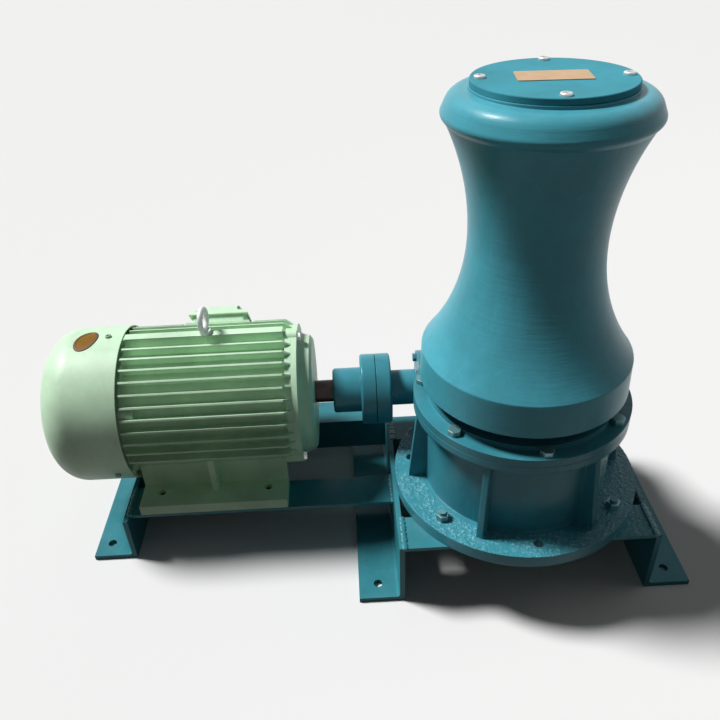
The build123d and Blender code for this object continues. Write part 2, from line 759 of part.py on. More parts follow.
def bearing_x(bore, outer, x0, width, balls=9):
    """Inner ring, outer ring and balls of a bearing on the motor's axis."""
    inner_r, outer_r, ball, circle = bearing_rings(bore, outer)
    inner = ring_x(inner_r, bore + seat_gap, x0, x0 + width)
    shell = ring_x(outer, outer_r, x0, x0 + width)
    place = Pos(x0 + width / 2, 0, circle)
    beads = [around_motor(360 * i / balls) * place * Sphere(ball) for i in range(balls)]
    return inner, shell, beads


motor_bearings = [bearing_x(motor_journal_r, motor_bearing_r, x, motor_bearing_width)
                  for x in (rear_bearing_x, drive_bearing_x)]
keep("motor_bearing_inner_rings", *[b[0] for b in motor_bearings])
keep("motor_bearing_outer_rings", *[b[1] for b in motor_bearings])
keep("motor_bearing_balls", *[s for b in motor_bearings for s in b[2]])

fan = ring_x(fan_hub_r, fan_bore_r + seat_gap, fan_x, fan_right_x)
fan += ring_x(fan_r, fan_hub_r - past, fan_right_x - fan_blade_thickness, fan_right_x)
for i in range(fan_blades):
    blade = block(fan_x + fan_blade_inset, fan_right_x - fan_blade_inset,
                  -fan_blade_thickness / 2, fan_blade_thickness / 2,
                  fan_hub_r - fan_blade_inset, fan_r - fan_blade_inset)
    fan += around_motor(360 * i / fan_blades) * blade
keep("cooling_fan", fan)

# Terminal box on the far shoulder of the motor
box_base = Box(box_flange_size, box_flange_size, box_flange_thickness, align=on_seat)
box_body = Box(box_wall_size, box_wall_size, box_depth, align=on_seat)
box_body = fillet(box_body.edges().filter_by(Axis.Z), box_round)
box_inside = box_wall_size - 2 * box_wall
box_hollow = Pos(0, 0, box_flange_thickness) * Box(box_inside, box_inside, box_depth, align=on_seat)
corner = box_wall_size / 2 - box_post_inset
corners = [(sx * corner, sy * corner) for sx in (-1, 1) for sy in (-1, 1)]
gland_boss_depth = (box_flange_size - box_wall_size) / 2
gland_boss = Box(gland_boss_width, 2 * gland_boss_depth, box_depth, align=on_seat)
gland_boss = Pos(0, box_wall_size / 2, 0) * gland_boss
terminal_box = box_base + box_body + gland_boss - box_hollow
for x, y in corners:
    terminal_box += Pos(x, y, 0) * Cylinder(box_post_r, box_depth, align=on_seat)
for x, y in corners:
    terminal_box -= Pos(x, y, box_depth) * Cylinder(m5_r, 2 * box_screw_length)
gland_place = Pos(0, box_flange_size / 2, box_depth / 2) * Rot(-90, 0, 0)
gland_grip = gland_boss_depth + box_wall
terminal_box -= gland_place * Cylinder(gland_thread_r, 4 * gland_grip)
box_place = around_motor(box_angle) * Pos(box_x, 0, box_flange_base)
keep("terminal_box", box_place * terminal_box)
lid_size = box_wall_size + 2 * lid_lip
lid_top_size = box_wall_size - 2 * lid_slope
lid = Pos(0, 0, box_depth) * Box(lid_size, lid_size, lid_edge, align=on_seat)
lid += loft([Pos(0, 0, box_depth + lid_edge) * Rectangle(lid_size, lid_size),
             Pos(0, 0, box_depth + lid_thickness) * Rectangle(lid_top_size, lid_top_size)], ruled=True)
lid -= Pos(0, 0, box_depth) * Box(lid_hollow_size, lid_hollow_size, 2 * (lid_thickness - lid_top_wall))
lid_seat_z = box_depth + lid_thickness - lid_screw_drop
for x, y in corners:
    lid -= Pos(x, y, lid_seat_z) * Cylinder(box_post_r, lid_thickness, align=on_seat)
    lid -= Pos(x, y, box_depth) * Cylinder(m5_r + bolt_gap, 4 * lid_thickness)
screw = pan_screw(m5_pan_r, m5_pan, m5_r - seat_gap, box_screw_length)
keep("terminal_box_lid", box_place * lid)
keep("terminal_box_screws", *[box_place * Pos(x, y, lid_seat_z) * screw for x, y in corners])
gland = hexagon(2 * gland_r, gland_nut)
gland += Cylinder(gland_r * gland_neck_share, gland_length, align=on_seat)
gland += Pos(0, 0, -gland_grip - gland_inside) * Cylinder(
    gland_thread_r - seat_gap, gland_grip + gland_inside, align=on_seat)
gland -= Cylinder(gland_bore_r, 4 * gland_length)
keep("cable_gland", box_place * gland_place * gland)

# Lifting eye
eye_centre = eye_collar_height + eye_ring_r + eye_wire_r * eye_sink_share
eye = Cylinder(eye_collar_r, eye_collar_height, align=on_seat)
eye += Pos(0, 0, -eye_thread_length) * Cylinder(m10_r - seat_gap, eye_thread_length, align=on_seat)
eye += Pos(0, 0, eye_centre) * Rot(0, 0, eye_turn) * Rot(0, 90, 0) * Torus(eye_ring_r, eye_wire_r)
keep("lifting_eye", around_motor(eye_angle) * Pos(eye_x, 0, eye_boss_top) * eye)

# Coupling between motor and worm: two flanged hubs, keyed and bolted together
motor_key_x = (motor_hub_left_x + key_end, shaft_end_x - key_end)
worm_key_x = (worm_shaft_left_x + key_end, worm_hub_right_x - key_end)


def key_bar(x0, x1, shaft_r, gap):
    """A key along the top of a shaft on the motor's axis."""
    return block(x0 - gap, x1 + gap, axis_y - key_width / 2 - gap, axis_y + key_width / 2 + gap,
                 axis_z + shaft_r - key_height * key_sunk_share - gap,
                 axis_z + shaft_r + key_height * (1 - key_sunk_share) + gap)


motor_half = rod_x(motor_hub_r, motor_hub_left_x, flange_left_x)
motor_half += rod_x(coupling_flange_r, flange_left_x, coupling_split_x)
motor_half = chamfer(motor_half.edges().group_by(Axis.X)[0], motor_hub_chamfer)
motor_half = fillet(motor_half.edges().filter_by(GeomType.CIRCLE).group_by(SortBy.RADIUS)[-1]
                    .group_by(Axis.X)[0], coupling_round)
motor_half -= rod_x(motor_shaft_r + seat_gap, motor_hub_left_x - past, coupling_split_x + past)
motor_half -= key_bar(motor_hub_left_x, coupling_split_x, motor_shaft_r, key_gap)
worm_half = rod_x(worm_hub_r, flange_right_x, worm_hub_right_x)
worm_half += rod_x(coupling_flange_r, worm_flange_x, flange_right_x)
worm_half = fillet(worm_half.edges().filter_by(GeomType.CIRCLE).group_by(SortBy.RADIUS)[-1]
                   .group_by(Axis.X)[-1], coupling_round)
worm_half -= rod_x(worm_shaft_r + seat_gap, worm_flange_x - past, worm_hub_right_x + past)
worm_half -= key_bar(worm_flange_x, worm_hub_right_x, worm_shaft_r, key_gap)
bolt_left_x = flange_left_x + bolt_recess_depth
nut_right_x = flange_right_x - bolt_recess_depth
bolt = hex_bolt(m8_flats, m8_head, m8_r - seat_gap, flange_right_x - bolt_left_x - bolt_end_inset)
nut = hex_nut(m8_flats, m8_nut, m8_r)
coupling_set = []
for i in range(coupling_bolts):
    place = around_motor(coupling_bolt_angle + 360 * i / coupling_bolts) * Pos(0, 0, coupling_bolt_pcd_r)
    hole = Pos(coupling_split_x, 0, 0) * Rot(0, 90, 0) * Cylinder(m8_r, 4 * coupling_flange_width)
    left_recess = Pos(flange_left_x, 0, 0) * Rot(0, 90, 0) * Cylinder(bolt_recess_r, 2 * bolt_recess_depth)
    right_recess = Pos(flange_right_x, 0, 0) * Rot(0, 90, 0) * Cylinder(bolt_recess_r, 2 * bolt_recess_depth)
    motor_half -= place * hole
    motor_half -= place * left_recess
    worm_half -= place * hole
    worm_half -= place * right_recess
    coupling_set.append(place * Pos(bolt_left_x, 0, 0) * Rot(0, -90, 0) * bolt)
    coupling_set.append(place * Pos(nut_right_x, 0, 0) * Rot(0, 90, 0) * nut)
keep("coupling_motor_half", motor_half)
keep("coupling_worm_half", worm_half)
keep("coupling_bolts", *coupling_set)
motor_shaft -= key_bar(*motor_key_x, motor_shaft_r, key_gap)
keep("motor_shaft", motor_shaft)
keep("coupling_keys", key_bar(*motor_key_x, motor_shaft_r, 0), key_bar(*worm_key_x, worm_shaft_r, 0))

# Worm shaft with a single right-hand thread
worm_tip_r = worm_pitch_r + addendum
worm_root_r = worm_pitch_r - dedendum
thread_half = lead / 4 - tooth_backlash / 4
flank = tan(radians(pressure_angle))
thread_length = worm_turns * lead
root_half = thread_half + (dedendum + thread_sink) * flank
tip_half = thread_half - addendum * flank
helix_r = worm_root_r - thread_sink
thread_face = make_face(Polyline((helix_r, 0, -root_half), (worm_tip_r, 0, -tip_half),
                                 (worm_tip_r, 0, tip_half), (helix_r, 0, root_half), close=True))
thread = sweep(thread_face, path=Helix(lead, thread_length, helix_r), is_frenet=True)
thread = Pos(0, axis_y, axis_z) * Rot(0, 90, 0) * Rot(0, 0, 270) * Pos(0, 0, -thread_length / 2) * thread
root_half_length = thread_length / 2 + lead * thread_run_out
worm_shaft = rod_x(worm_shaft_r, worm_shaft_left_x, -worm_bearing_x - worm_bearing_width)
worm_shaft += rod_x(worm_journal_r, -worm_bearing_x - worm_bearing_width, -worm_bearing_x)
worm_shaft += rod_x(worm_shoulder_r, -worm_bearing_x, -root_half_length)
worm_shaft += rod_x(worm_root_r, -root_half_length, root_half_length)
worm_shaft += rod_x(worm_shoulder_r, root_half_length, worm_bearing_x)
worm_shaft += rod_x(worm_journal_r, worm_bearing_x, worm_bearing_x + worm_bearing_width)
worm_shaft -= key_bar(*worm_key_x, worm_shaft_r, key_gap)
worm_shaft += thread
keep("worm_shaft", worm_shaft)
worm_bearings = [bearing_x(worm_journal_r, worm_bearing_r, x, worm_bearing_width)
                 for x in (-worm_bearing_x - worm_bearing_width, worm_bearing_x)]
keep("worm_bearing_inner_rings", *[b[0] for b in worm_bearings])
keep("worm_bearing_outer_rings", *[b[1] for b in worm_bearings])
keep("worm_bearing_balls", *[s for b in worm_bearings for s in b[2]])

# Base housing: foot flange, body, top flange, ribs and the worm's tunnel
housing = rod_z(foot_flange_r, bed_height, foot_top_z)
housing += rod_z(body_r, bed_height, base_top_z)
housing += rod_z(top_flange_r, base_top_z - top_flange_thickness, base_top_z)
rib_inner_r = body_r - body_wall / 2
rib_z = (foot_top_z - past, base_top_z - top_flange_thickness + past)
rib_outline = Polyline((rib_inner_r, 0, rib_z[0]), (foot_flange_r - rib_foot_inset, 0, rib_z[0]),
                       (top_flange_r - rib_top_inset, 0, rib_z[1]), (rib_inner_r, 0, rib_z[1]), close=True)
rib = extrude(make_face(rib_outline), rib_thickness / 2, both=True)
for angle in rib_angles:
    housing += Rot(0, 0, angle - 90) * rib
housing += rod_x(tunnel_r, -tunnel_half_length, tunnel_half_length)
for x in (-tunnel_half_length, tunnel_half_length - tunnel_flange_width):
    housing += rod_x(tunnel_flange_r, x, x + tunnel_flange_width)
housing -= rod_z(cavity_r, base_floor_z, base_top_z + past)
housing -= rod_x(tunnel_bore_r, -tunnel_half_length - past, tunnel_half_length + past)
housing += ring_z(main_lower_bearing_r + lower_boss_wall, main_lower_bearing_r + seat_gap,
                  base_floor_z - past, lower_boss_z)
housing += ring_z(main_lower_bearing_r + past, main_lower_bearing_r - lower_seat_width,
                  base_floor_z - past, lower_bearing_z)
for angle in bolt_angles:
    housing -= rod_z(bolt_hole_r, bed_height - past, foot_top_z + past, *around_drum(base_bolt_pcd_r, angle))
    housing -= rod_z(m12_r, base_top_z - top_flange_thickness - past, base_top_z + past,
                     *around_drum(cover_bolt_pcd_r, angle))
tapped = Rot(0, 90, 0) * Cylinder(m8_r, 2 * (worm_screw_length + tap_depth))
for angle in quarter_angles:
    for x in (-tunnel_half_length, tunnel_half_length):
        housing -= around_motor(angle) * Pos(x, 0, worm_cover_screw_pcd_r) * tapped
keep("base_housing", housing)

# Top cover with the sleeve that carries the upper bearing
cover = rod_z(top_flange_r, base_top_z, cover_top_z)
cover += rod_z(top_flange_r - cover_pad_inset, cover_top_z, cover_top_z + cover_pad_height)
cover += rod_z(sleeve_r, base_top_z, sleeve_top_z)
cover -= rod_z(sleeve_bore_r, base_top_z - past, sleeve_top_z + past)
cover -= rod_z(main_upper_bearing_r + seat_gap, upper_bearing_z, sleeve_top_z + past)
for angle in bolt_angles:
    cover -= rod_z(bolt_hole_r, base_top_z - past, cover_top_z + past, *around_drum(cover_bolt_pcd_r, angle))
bolts = []
for angle in bolt_angles:
    x, y = around_drum(cover_bolt_pcd_r, angle)
    cover -= rod_z(m12_flats * spot_face_share, cover_top_z, cover_top_z + cover_pad_height + past, x, y)
    bolt = hex_bolt(m12_flats, m12_head, m12_r - seat_gap, cover_thickness + top_flange_thickness)
    bolts.append(Pos(x, y, cover_top_z) * Rot(0, 0, angle) * bolt)
keep("top_cover", cover)
keep("cover_bolts", *bolts)

# Worm bearing covers, screws and seals
cover_x = tunnel_half_length
cover_face_x = cover_x + worm_cover_thickness
seal_fit_r = worm_seal_r + seat_gap
open_cover = ring_x(tunnel_flange_r, seal_fit_r, -cover_face_x, -cover_x)
open_cover += ring_x(worm_bearing_r, seal_fit_r, -cover_x - past, -cover_x + worm_cover_lip)
blind_cover = rod_x(tunnel_flange_r, cover_x, cover_face_x)
blind_cover += ring_x(worm_bearing_r, worm_bearing_r - worm_cover_lip_wall,
                      cover_x - worm_cover_lip, cover_x + past)
screws = []
bolt = hex_bolt(m8_flats, m8_head, m8_r - seat_gap, worm_cover_thickness + worm_screw_length)
hole = Rot(0, 90, 0) * Cylinder(m8_r + bolt_gap, 4 * cover_face_x)
for angle in quarter_angles:
    place = around_motor(angle) * Pos(0, 0, worm_cover_screw_pcd_r)
    open_cover -= place * hole
    blind_cover -= place * hole
    screws.append(place * Pos(-cover_face_x, 0, 0) * Rot(0, -90, 0) * bolt)
    screws.append(place * Pos(cover_face_x, 0, 0) * Rot(0, 90, 0) * bolt)
keep("worm_cover_open", open_cover)
keep("worm_cover_blind", blind_cover)
keep("worm_cover_screws", *screws)
worm_seal = ring_x(worm_seal_r, worm_shaft_r + seat_gap, -cover_face_x + seal_inset, -cover_x + seal_inset)
main_seal_z = base_top_z + main_seal_lift
main_seal = ring_z(sleeve_bore_r - seat_gap, shaft_collar_r + seat_gap,
                   main_seal_z, main_seal_z + main_seal_height)
keep("shaft_seals", worm_seal, main_seal)

# Base and motor foot fasteners
base_grip = foot_flange_thickness + rail_thickness
bolt = hex_bolt(m12_flats, m12_head, m12_r - seat_gap, base_grip + m12_nut + m12_past_nut)
nut = hex_nut(m12_flats, m12_nut, m12_r)
bolts = []
nuts = []
for angle in frame_bolt_angles:
    x, y = around_drum(base_bolt_pcd_r, angle)
    bolts.append(Pos(x, y, bed_height - rail_thickness) * Rot(180, 0, 0) * bolt)
    nuts.append(Pos(x, y, foot_top_z) * Rot(0, 0, angle) * nut)
keep("base_bolts", *bolts)
keep("base_nuts", *nuts)
motor_grip = motor_foot_thickness + rail_thickness
bolt = hex_bolt(m12_flats, m12_head, m12_r - seat_gap, motor_grip - foot_bolt_recess)
bolts = []
for x in foot_hole_x:
    for y in foot_hole_y:
        bolts.append(Pos(x, y, motor_bed_height - rail_thickness) * Rot(180, 0, 0) * bolt)
keep("motor_foot_bolts", *bolts)

# Worm wheel: a toothed bronze rim on an iron hub
base_circle_r = wheel_pitch_r * cos(radians(pressure_angle))


def involute(r):
    """Involute function at a radius, in radians."""
    turn = acos(min(1.0, base_circle_r / r))
    return tan(turn) - turn


def wheel_outline(turn, z):
    """Tooth outline of the wheel with a gap facing +Y, turned by an angle in degrees."""
    root_r = wheel_pitch_r - dedendum
    tip_r = wheel_pitch_r + addendum
    flank_r = [base_circle_r + (tip_r - base_circle_r) * i / 4 for i in range(5)]
    half = (lead / 2 - tooth_backlash / 2) / 2 / wheel_pitch_r
    points = []
    for tooth in range(wheel_teeth):
        middle = pi / 2 + 2 * pi * (tooth + 0.5) / wheel_teeth + radians(turn)
        offsets = [(r, half + involute(wheel_pitch_r) - involute(r)) for r in flank_r]
        foot = [(root_r, offsets[0][1])]
        rising = [(r, middle - a) for r, a in foot + offsets]
        falling = [(r, middle + a) for r, a in reversed(foot + offsets)]
        points += [(r * cos(a), r * sin(a), z) for r, a in rising + falling]
    return make_face(Polyline(*points, close=True))


wheel_z0 = axis_z - wheel_face_width / 2
wheel_z1 = axis_z + wheel_face_width / 2
lead_angle = atan(lead / (2 * pi * worm_pitch_r))
tooth_twist = degrees(wheel_face_width / 2 * tan(lead_angle) / wheel_pitch_r)
wheel_rim = loft([wheel_outline(-tooth_twist, wheel_z0), wheel_outline(tooth_twist, wheel_z1)], ruled=True)
wheel_rim -= rod_z(wheel_rim_inner_r, wheel_z0 - past, wheel_z1 + past)
keep("worm_wheel_rim", wheel_rim)
wheel_hub = rod_z(wheel_hub_r, hub_z0, hub_z1)
wheel_hub += rod_z(wheel_rim_inner_r - seat_gap, wheel_z0, wheel_z1)
recess_r = wheel_rim_inner_r - wheel_web_inset
wheel_hub -= ring_z(recess_r, wheel_hub_r, wheel_z0 - past, wheel_z0 + wheel_web_recess)
wheel_hub -= ring_z(recess_r, wheel_hub_r, wheel_z1 - wheel_web_recess, wheel_z1 + past)

# Main shaft, its keys, spacer and nut
upper_journal_z = upper_bearing_z + main_upper_bearing_width
main_shaft = rod_z(main_journal_r, lower_bearing_z - past, lower_boss_z)
main_shaft += rod_z(shaft_collar_r, lower_boss_z, hub_z0)
main_shaft += rod_z(wheel_seat_r, hub_z0, hub_z1)
main_shaft += rod_z(main_upper_r, hub_z1, upper_journal_z)
main_shaft += rod_z(main_journal_r, upper_journal_z, drum_hub_z)
main_shaft += rod_z(drum_seat_r, drum_hub_z, drum_recess_z)
main_shaft += rod_z(nut_thread_r, drum_recess_z, drum_recess_z + nut_height + thread_past_nut)


def upright_key(z0, z1, shaft_r, size, gap):
    """A key on the front of the upright shaft."""
    width, height = size
    return block(-width / 2 - gap, width / 2 + gap, -shaft_r - height * 0.4 - gap,
                 -shaft_r + height * key_sunk_share + gap, z0 - gap, z1 + gap)


wheel_key = (hub_z0 + upright_key_end, hub_z1 - upright_key_end, wheel_seat_r, wheel_key_size)
drum_key = (drum_hub_z + upright_key_end, drum_recess_z - upright_key_end, drum_seat_r, drum_key_size)
main_shaft -= upright_key(*wheel_key, key_gap)
main_shaft -= upright_key(*drum_key, key_gap)
wheel_hub -= rod_z(wheel_seat_r + seat_gap, hub_z0 - past, hub_z1 + past)
wheel_hub -= upright_key(hub_z0 - past, hub_z1 + past, wheel_seat_r, wheel_key_size, key_gap)
keep("worm_wheel_hub", wheel_hub)
keep("main_shaft", main_shaft)
keep("shaft_keys", upright_key(*wheel_key, 0), upright_key(*drum_key, 0))
keep("spacer_sleeve", ring_z(shaft_collar_r, main_upper_r + seat_gap, hub_z1, upper_bearing_z))
nut = Pos(0, 0, drum_recess_z) * hexagon(nut_flats, nut_height)
nut -= rod_z(nut_thread_r + seat_gap, drum_recess_z - past, drum_recess_z + nut_height + past)
keep("drum_nut", nut)


def bearing_z(bore, outer, z0, width, balls=10):
    """Inner ring, outer ring and balls of a bearing on the drum's axis."""
    inner_r, outer_r, ball, circle = bearing_rings(bore, outer)
    inner = ring_z(inner_r, bore + seat_gap, z0, z0 + width)
    shell = ring_z(outer, outer_r, z0, z0 + width)
    beads = [Pos(*around_drum(circle, 360 * i / balls), z0 + width / 2) * Sphere(ball) for i in range(balls)]
    return inner, shell, beads


main_bearings = [bearing_z(main_journal_r, main_lower_bearing_r, lower_bearing_z, main_lower_bearing_width),
                 bearing_z(main_upper_r, main_upper_bearing_r, upper_bearing_z, main_upper_bearing_width)]
keep("main_bearing_inner_rings", *[b[0] for b in main_bearings])
keep("main_bearing_outer_rings", *[b[1] for b in main_bearings])
keep("main_bearing_balls", *[s for b in main_bearings for s in b[2]])


# Drum: a hollow waisted casting with a sloping rim and a plain skirt
def arc_radius(rise, throw):
    """Radius of an arc that leaves upright at the waist and is thrown out over a rise."""
    return (rise ** 2 + throw ** 2) / (2 * throw)


lower_arc_r = arc_radius(waist_rise, skirt_top_r - waist_r)
upper_arc_r = arc_radius(rim_crease_rise, rim_crease_r - waist_r)
skirt_inner_r = skirt_bottom_r - drum_wall
outer_edges = [Line((skirt_inner_r, skirt_z), (skirt_bottom_r, skirt_z)),
               Line((skirt_bottom_r, skirt_z), (skirt_top_r, crease_z)),
               RadiusArc((skirt_top_r, crease_z), (waist_r, waist_z), lower_arc_r),
               RadiusArc((waist_r, waist_z), (rim_crease_r, rim_crease_z), upper_arc_r),
               Line((rim_crease_r, rim_crease_z), (rim_edge_r, rim_edge_z)),
               Line((rim_edge_r, rim_edge_z), (rim_top_r, rim_top_z))]
inner_top_z = drum_recess_z - drum_web_thickness
drum_bore_r = drum_seat_r + seat_gap
top_edges = Polyline((rim_top_r, rim_top_z), (neck_r, shoulder_z), (neck_r, neck_z),
                     (drum_recess_r, neck_z), (drum_recess_r, drum_recess_z), (drum_bore_r, drum_recess_z),
                     (drum_bore_r, drum_hub_z), (drum_hub_r, drum_hub_z), (drum_hub_r, inner_top_z)).edges()
inner_waist_r = waist_r - drum_wall
inner_top_rise = inner_top_z - waist_z
inner_top_r = inner_waist_r + upper_arc_r - sqrt(upper_arc_r ** 2 - inner_top_rise ** 2)
inner_crease_z = crease_z - drum_wall
inner_crease_r = skirt_top_r - drum_wall
inner_arc_r = arc_radius(waist_z - inner_crease_z, inner_crease_r - inner_waist_r)
inner_edges = [Line((drum_hub_r, inner_top_z), (inner_top_r, inner_top_z)),
               RadiusArc((inner_top_r, inner_top_z), (inner_waist_r, waist_z), -upper_arc_r),
               RadiusArc((inner_waist_r, waist_z), (inner_crease_r, inner_crease_z), -inner_arc_r),
               Line((inner_crease_r, inner_crease_z), (skirt_inner_r, skirt_z))]
drum_outline = make_face(outer_edges + top_edges + inner_edges)
for r, z, rounding in ((skirt_top_r, crease_z, skirt_round), (rim_edge_r, rim_edge_z, rim_edge_round),
                       (rim_top_r, rim_top_z, rim_top_round)):
    corner = drum_outline.vertices().sort_by_distance((r, z, 0))[0]
    drum_outline = fillet(corner, rounding)
drum = revolve(Rot(90, 0, 0) * drum_outline, Axis.Z, 360)
drum -= upright_key(drum_hub_z - past, drum_recess_z + past, drum_seat_r, drum_key_size, key_gap)
cap_r = neck_r - cap_overhang
cap_top_z = neck_z + cap_thickness
cap = rod_z(cap_r, neck_z, cap_top_z)
cap = chamfer(cap.edges().group_by(Axis.Z)[-1], cap_chamfer)
cap += rod_z(drum_recess_r - running_gap, neck_z - cap_spigot, neck_z)
screw = pan_screw(m8_pan_r, m8_pan, m8_r - seat_gap, cap_thickness + cap_screw_length)
screws = []
for i in range(cap_screws):
    x, y = around_drum(neck_r - cap_screw_inset, cap_screw_angle + 360 * i / cap_screws)
    cap -= rod_z(m8_r + bolt_gap, neck_z - past, cap_top_z + past, x, y)
    drum -= rod_z(m8_r, neck_z - cap_screw_length - tap_depth, neck_z + past, x, y)
    screws.append(Pos(x, y, cap_top_z) * screw)
keep("drum", drum)
keep("drum_cap", cap)
keep("cap_screws", *screws)

# Write one file for each node
os.makedirs("parts", exist_ok=True)
for name, solids in nodes.items():
    shape = solids[0] if len(solids) == 1 else Compound(solids)
    export_step(shape, f"parts/{name}.step")
print(len(nodes), "nodes")
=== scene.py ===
from math import cos, radians, sin

import bmesh
import bpy
from bpy.props import FloatProperty, FloatVectorProperty, PointerProperty
from mathutils import Matrix, Vector


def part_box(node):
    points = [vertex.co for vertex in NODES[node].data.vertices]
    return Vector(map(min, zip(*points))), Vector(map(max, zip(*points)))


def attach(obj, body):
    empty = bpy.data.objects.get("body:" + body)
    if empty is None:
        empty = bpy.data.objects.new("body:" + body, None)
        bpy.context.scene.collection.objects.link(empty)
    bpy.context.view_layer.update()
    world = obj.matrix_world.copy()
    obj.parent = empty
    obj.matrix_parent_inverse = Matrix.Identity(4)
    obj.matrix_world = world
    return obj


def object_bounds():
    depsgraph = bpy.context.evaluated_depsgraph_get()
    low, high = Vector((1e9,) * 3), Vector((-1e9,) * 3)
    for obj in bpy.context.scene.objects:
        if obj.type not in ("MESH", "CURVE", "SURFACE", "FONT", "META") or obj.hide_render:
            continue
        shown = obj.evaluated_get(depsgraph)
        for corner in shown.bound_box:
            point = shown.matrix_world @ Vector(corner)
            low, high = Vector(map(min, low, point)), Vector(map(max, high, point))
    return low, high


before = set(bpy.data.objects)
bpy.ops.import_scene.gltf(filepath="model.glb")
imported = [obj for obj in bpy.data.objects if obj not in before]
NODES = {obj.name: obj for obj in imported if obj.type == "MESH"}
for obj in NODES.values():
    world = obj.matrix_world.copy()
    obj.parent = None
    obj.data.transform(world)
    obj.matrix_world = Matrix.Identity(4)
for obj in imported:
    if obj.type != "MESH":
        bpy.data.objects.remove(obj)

bl_info = {
    "name": "Electric capstan winch",
    "version": (1, 0, 0),
    "blender": (4, 5, 0),
    "location": "3D View > Sidebar > Winch",
    "description": "Paints the capstan winch, adds its plate, badge and welds, and sets up the studio",
    "category": "Object",
}

CAD_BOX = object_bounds()

# Places taken from the CAD, in metres
CAP_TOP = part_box("drum_cap")[1].z
COWL_LOW, COWL_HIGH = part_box("fan_cowl")
COWL_RADIUS = (COWL_HIGH.z - COWL_LOW.z) / 2
MOTOR_AXIS = (COWL_LOW + COWL_HIGH) / 2
FLANGE_THICKNESS = 0.020
FLANGE_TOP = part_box("base_housing")[0].z + FLANGE_THICKNESS
BED_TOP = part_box("front_bed_rail")[1].z

# Rough skin of the castings: on a level between two heights outside a radius, and on low walls on the right
NOWHERE = 9.0
FLANGE_CRUST = {"Low": FLANGE_TOP - 0.0010, "High": FLANGE_TOP + 0.0015, "Radius": 0.150,
                "Wall_top": FLANGE_TOP + 0.105, "Right": 0.095}
BED_CRUST = {"Low": BED_TOP - 0.006, "High": BED_TOP + 0.001, "Radius": NOWHERE,
             "Wall_top": BED_TOP + 0.032, "Right": 0.130}

# Rings of the badge from its edge inwards: reach, rise in thicknesses, and material
BADGE_FOIL, BADGE_RIM = 0, 1
BADGE_RINGS = ((0.97, 1.0, BADGE_RIM), (0.80, 0.0, BADGE_RIM), (0.77, -0.4, BADGE_FOIL),
               (0.60, 0.0, BADGE_FOIL), (0.40, 0.0, BADGE_FOIL), (0.20, 0.0, BADGE_FOIL),
               (0.05, 0.0, BADGE_FOIL))

# Ripples of a weld: width and height in legs, reach in steps, and the amount and rate of each swelling
WELDED_RAILS = ("front_bed_rail", "back_bed_rail", "front_motor_rail", "back_motor_rail")
RIPPLE_WIDTH = 2.0
RIPPLE_HEIGHT = 0.9
RIPPLE_REACH = 2.1
RIPPLE_SWELLS = ((0.14, 2.4), (0.08, 5.1))

# Places of the colour sockets on a Mix node
MIX_FIRST, MIX_SECOND, MIX_RESULT = 6, 7, 2


def colour(name, text, value):
    """A setting for a colour."""
    return FloatVectorProperty(name=name, description=text, subtype="COLOR", size=3, min=0.0, max=1.0,
                               default=value)


def length(name, text, value):
    """A setting for a length in metres."""
    return FloatProperty(name=name, description=text, unit="LENGTH", default=value)


def angle(name, text, degrees):
    """A setting for an angle."""
    return FloatProperty(name=name, description=text, subtype="ANGLE", unit="ROTATION",
                         default=radians(degrees))


def spot(name, text, value):
    """A setting for a place or an offset in metres."""
    return FloatVectorProperty(name=name, description=text, subtype="TRANSLATION", unit="LENGTH",
                               default=value)


def power(name, text, value):
    """A setting for a lamp's power."""
    return FloatProperty(name=name, description=text, unit="POWER", default=value)


def level(name, text, value):
    """A setting for a strength without a unit."""
    return FloatProperty(name=name, description=text, default=value, min=0.0)


class WinchColours(bpy.types.PropertyGroup):
    """Paints and metals of the winch."""
    drum_teal: colour("Drum teal", "Gloss paint of the drum and its cap", (0.056, 0.305, 0.380))
    capstan_teal: colour("Base teal", "Gloss paint of the gear base and the coupling", (0.034, 0.208, 0.260))
    frame_teal: colour("Frame teal", "Paint of the welded frame", (0.026, 0.178, 0.215))
    motor_green: colour("Motor green", "Pale green paint of the motor", (0.510, 0.715, 0.505))
    zinc: colour("Zinc", "Plated screws, bolts and nuts", (0.640, 0.650, 0.650))
    worn_bolt: colour("Worn bolt", "Bolt heads with thin worn paint", (0.140, 0.300, 0.320))
    oiled_steel: colour("Oiled steel", "Shafts, keys and dark fasteners", (0.040, 0.034, 0.032))
    bearing_steel: colour("Bearing steel", "Rings and balls of the bearings", (0.550, 0.550, 0.560))
    copper_dark: colour("Dark copper", "Windings between the wires", (0.160, 0.045, 0.012))
    copper_light: colour("Light copper", "Windings on the wires", (0.520, 0.190, 0.060))
    plate_beige: colour("Plate beige", "Bare plate on the drum's cap", (0.510, 0.345, 0.215))
    badge_gold: colour("Badge gold", "Bare badge on the fan cowl", (0.205, 0.100, 0.010))
    badge_brown: colour("Badge brown", "Rim of the badge on the fan cowl", (0.090, 0.030, 0.010))
    # Painted highlight: pale specks laid as colour on the grains of the rough casting skin, standing in for
    # glints
    crust_painted_glint: colour("Crust glint", "Worn tops of the rough casting skin", (0.280, 0.500, 0.580))
    dust: colour("Dust", "Pale dust on painted faces that look up", (0.300, 0.310, 0.300))
    plastic_dust: colour("Plastic dust", "Dust on plastic and rubber", (0.300, 0.280, 0.250))
    floor_pale: colour("Floor", "Studio floor as it is seen", (0.640, 0.640, 0.635))
    floor_bounce: colour("Floor bounce", "Studio floor as it lights the winch", (0.080, 0.076, 0.072))


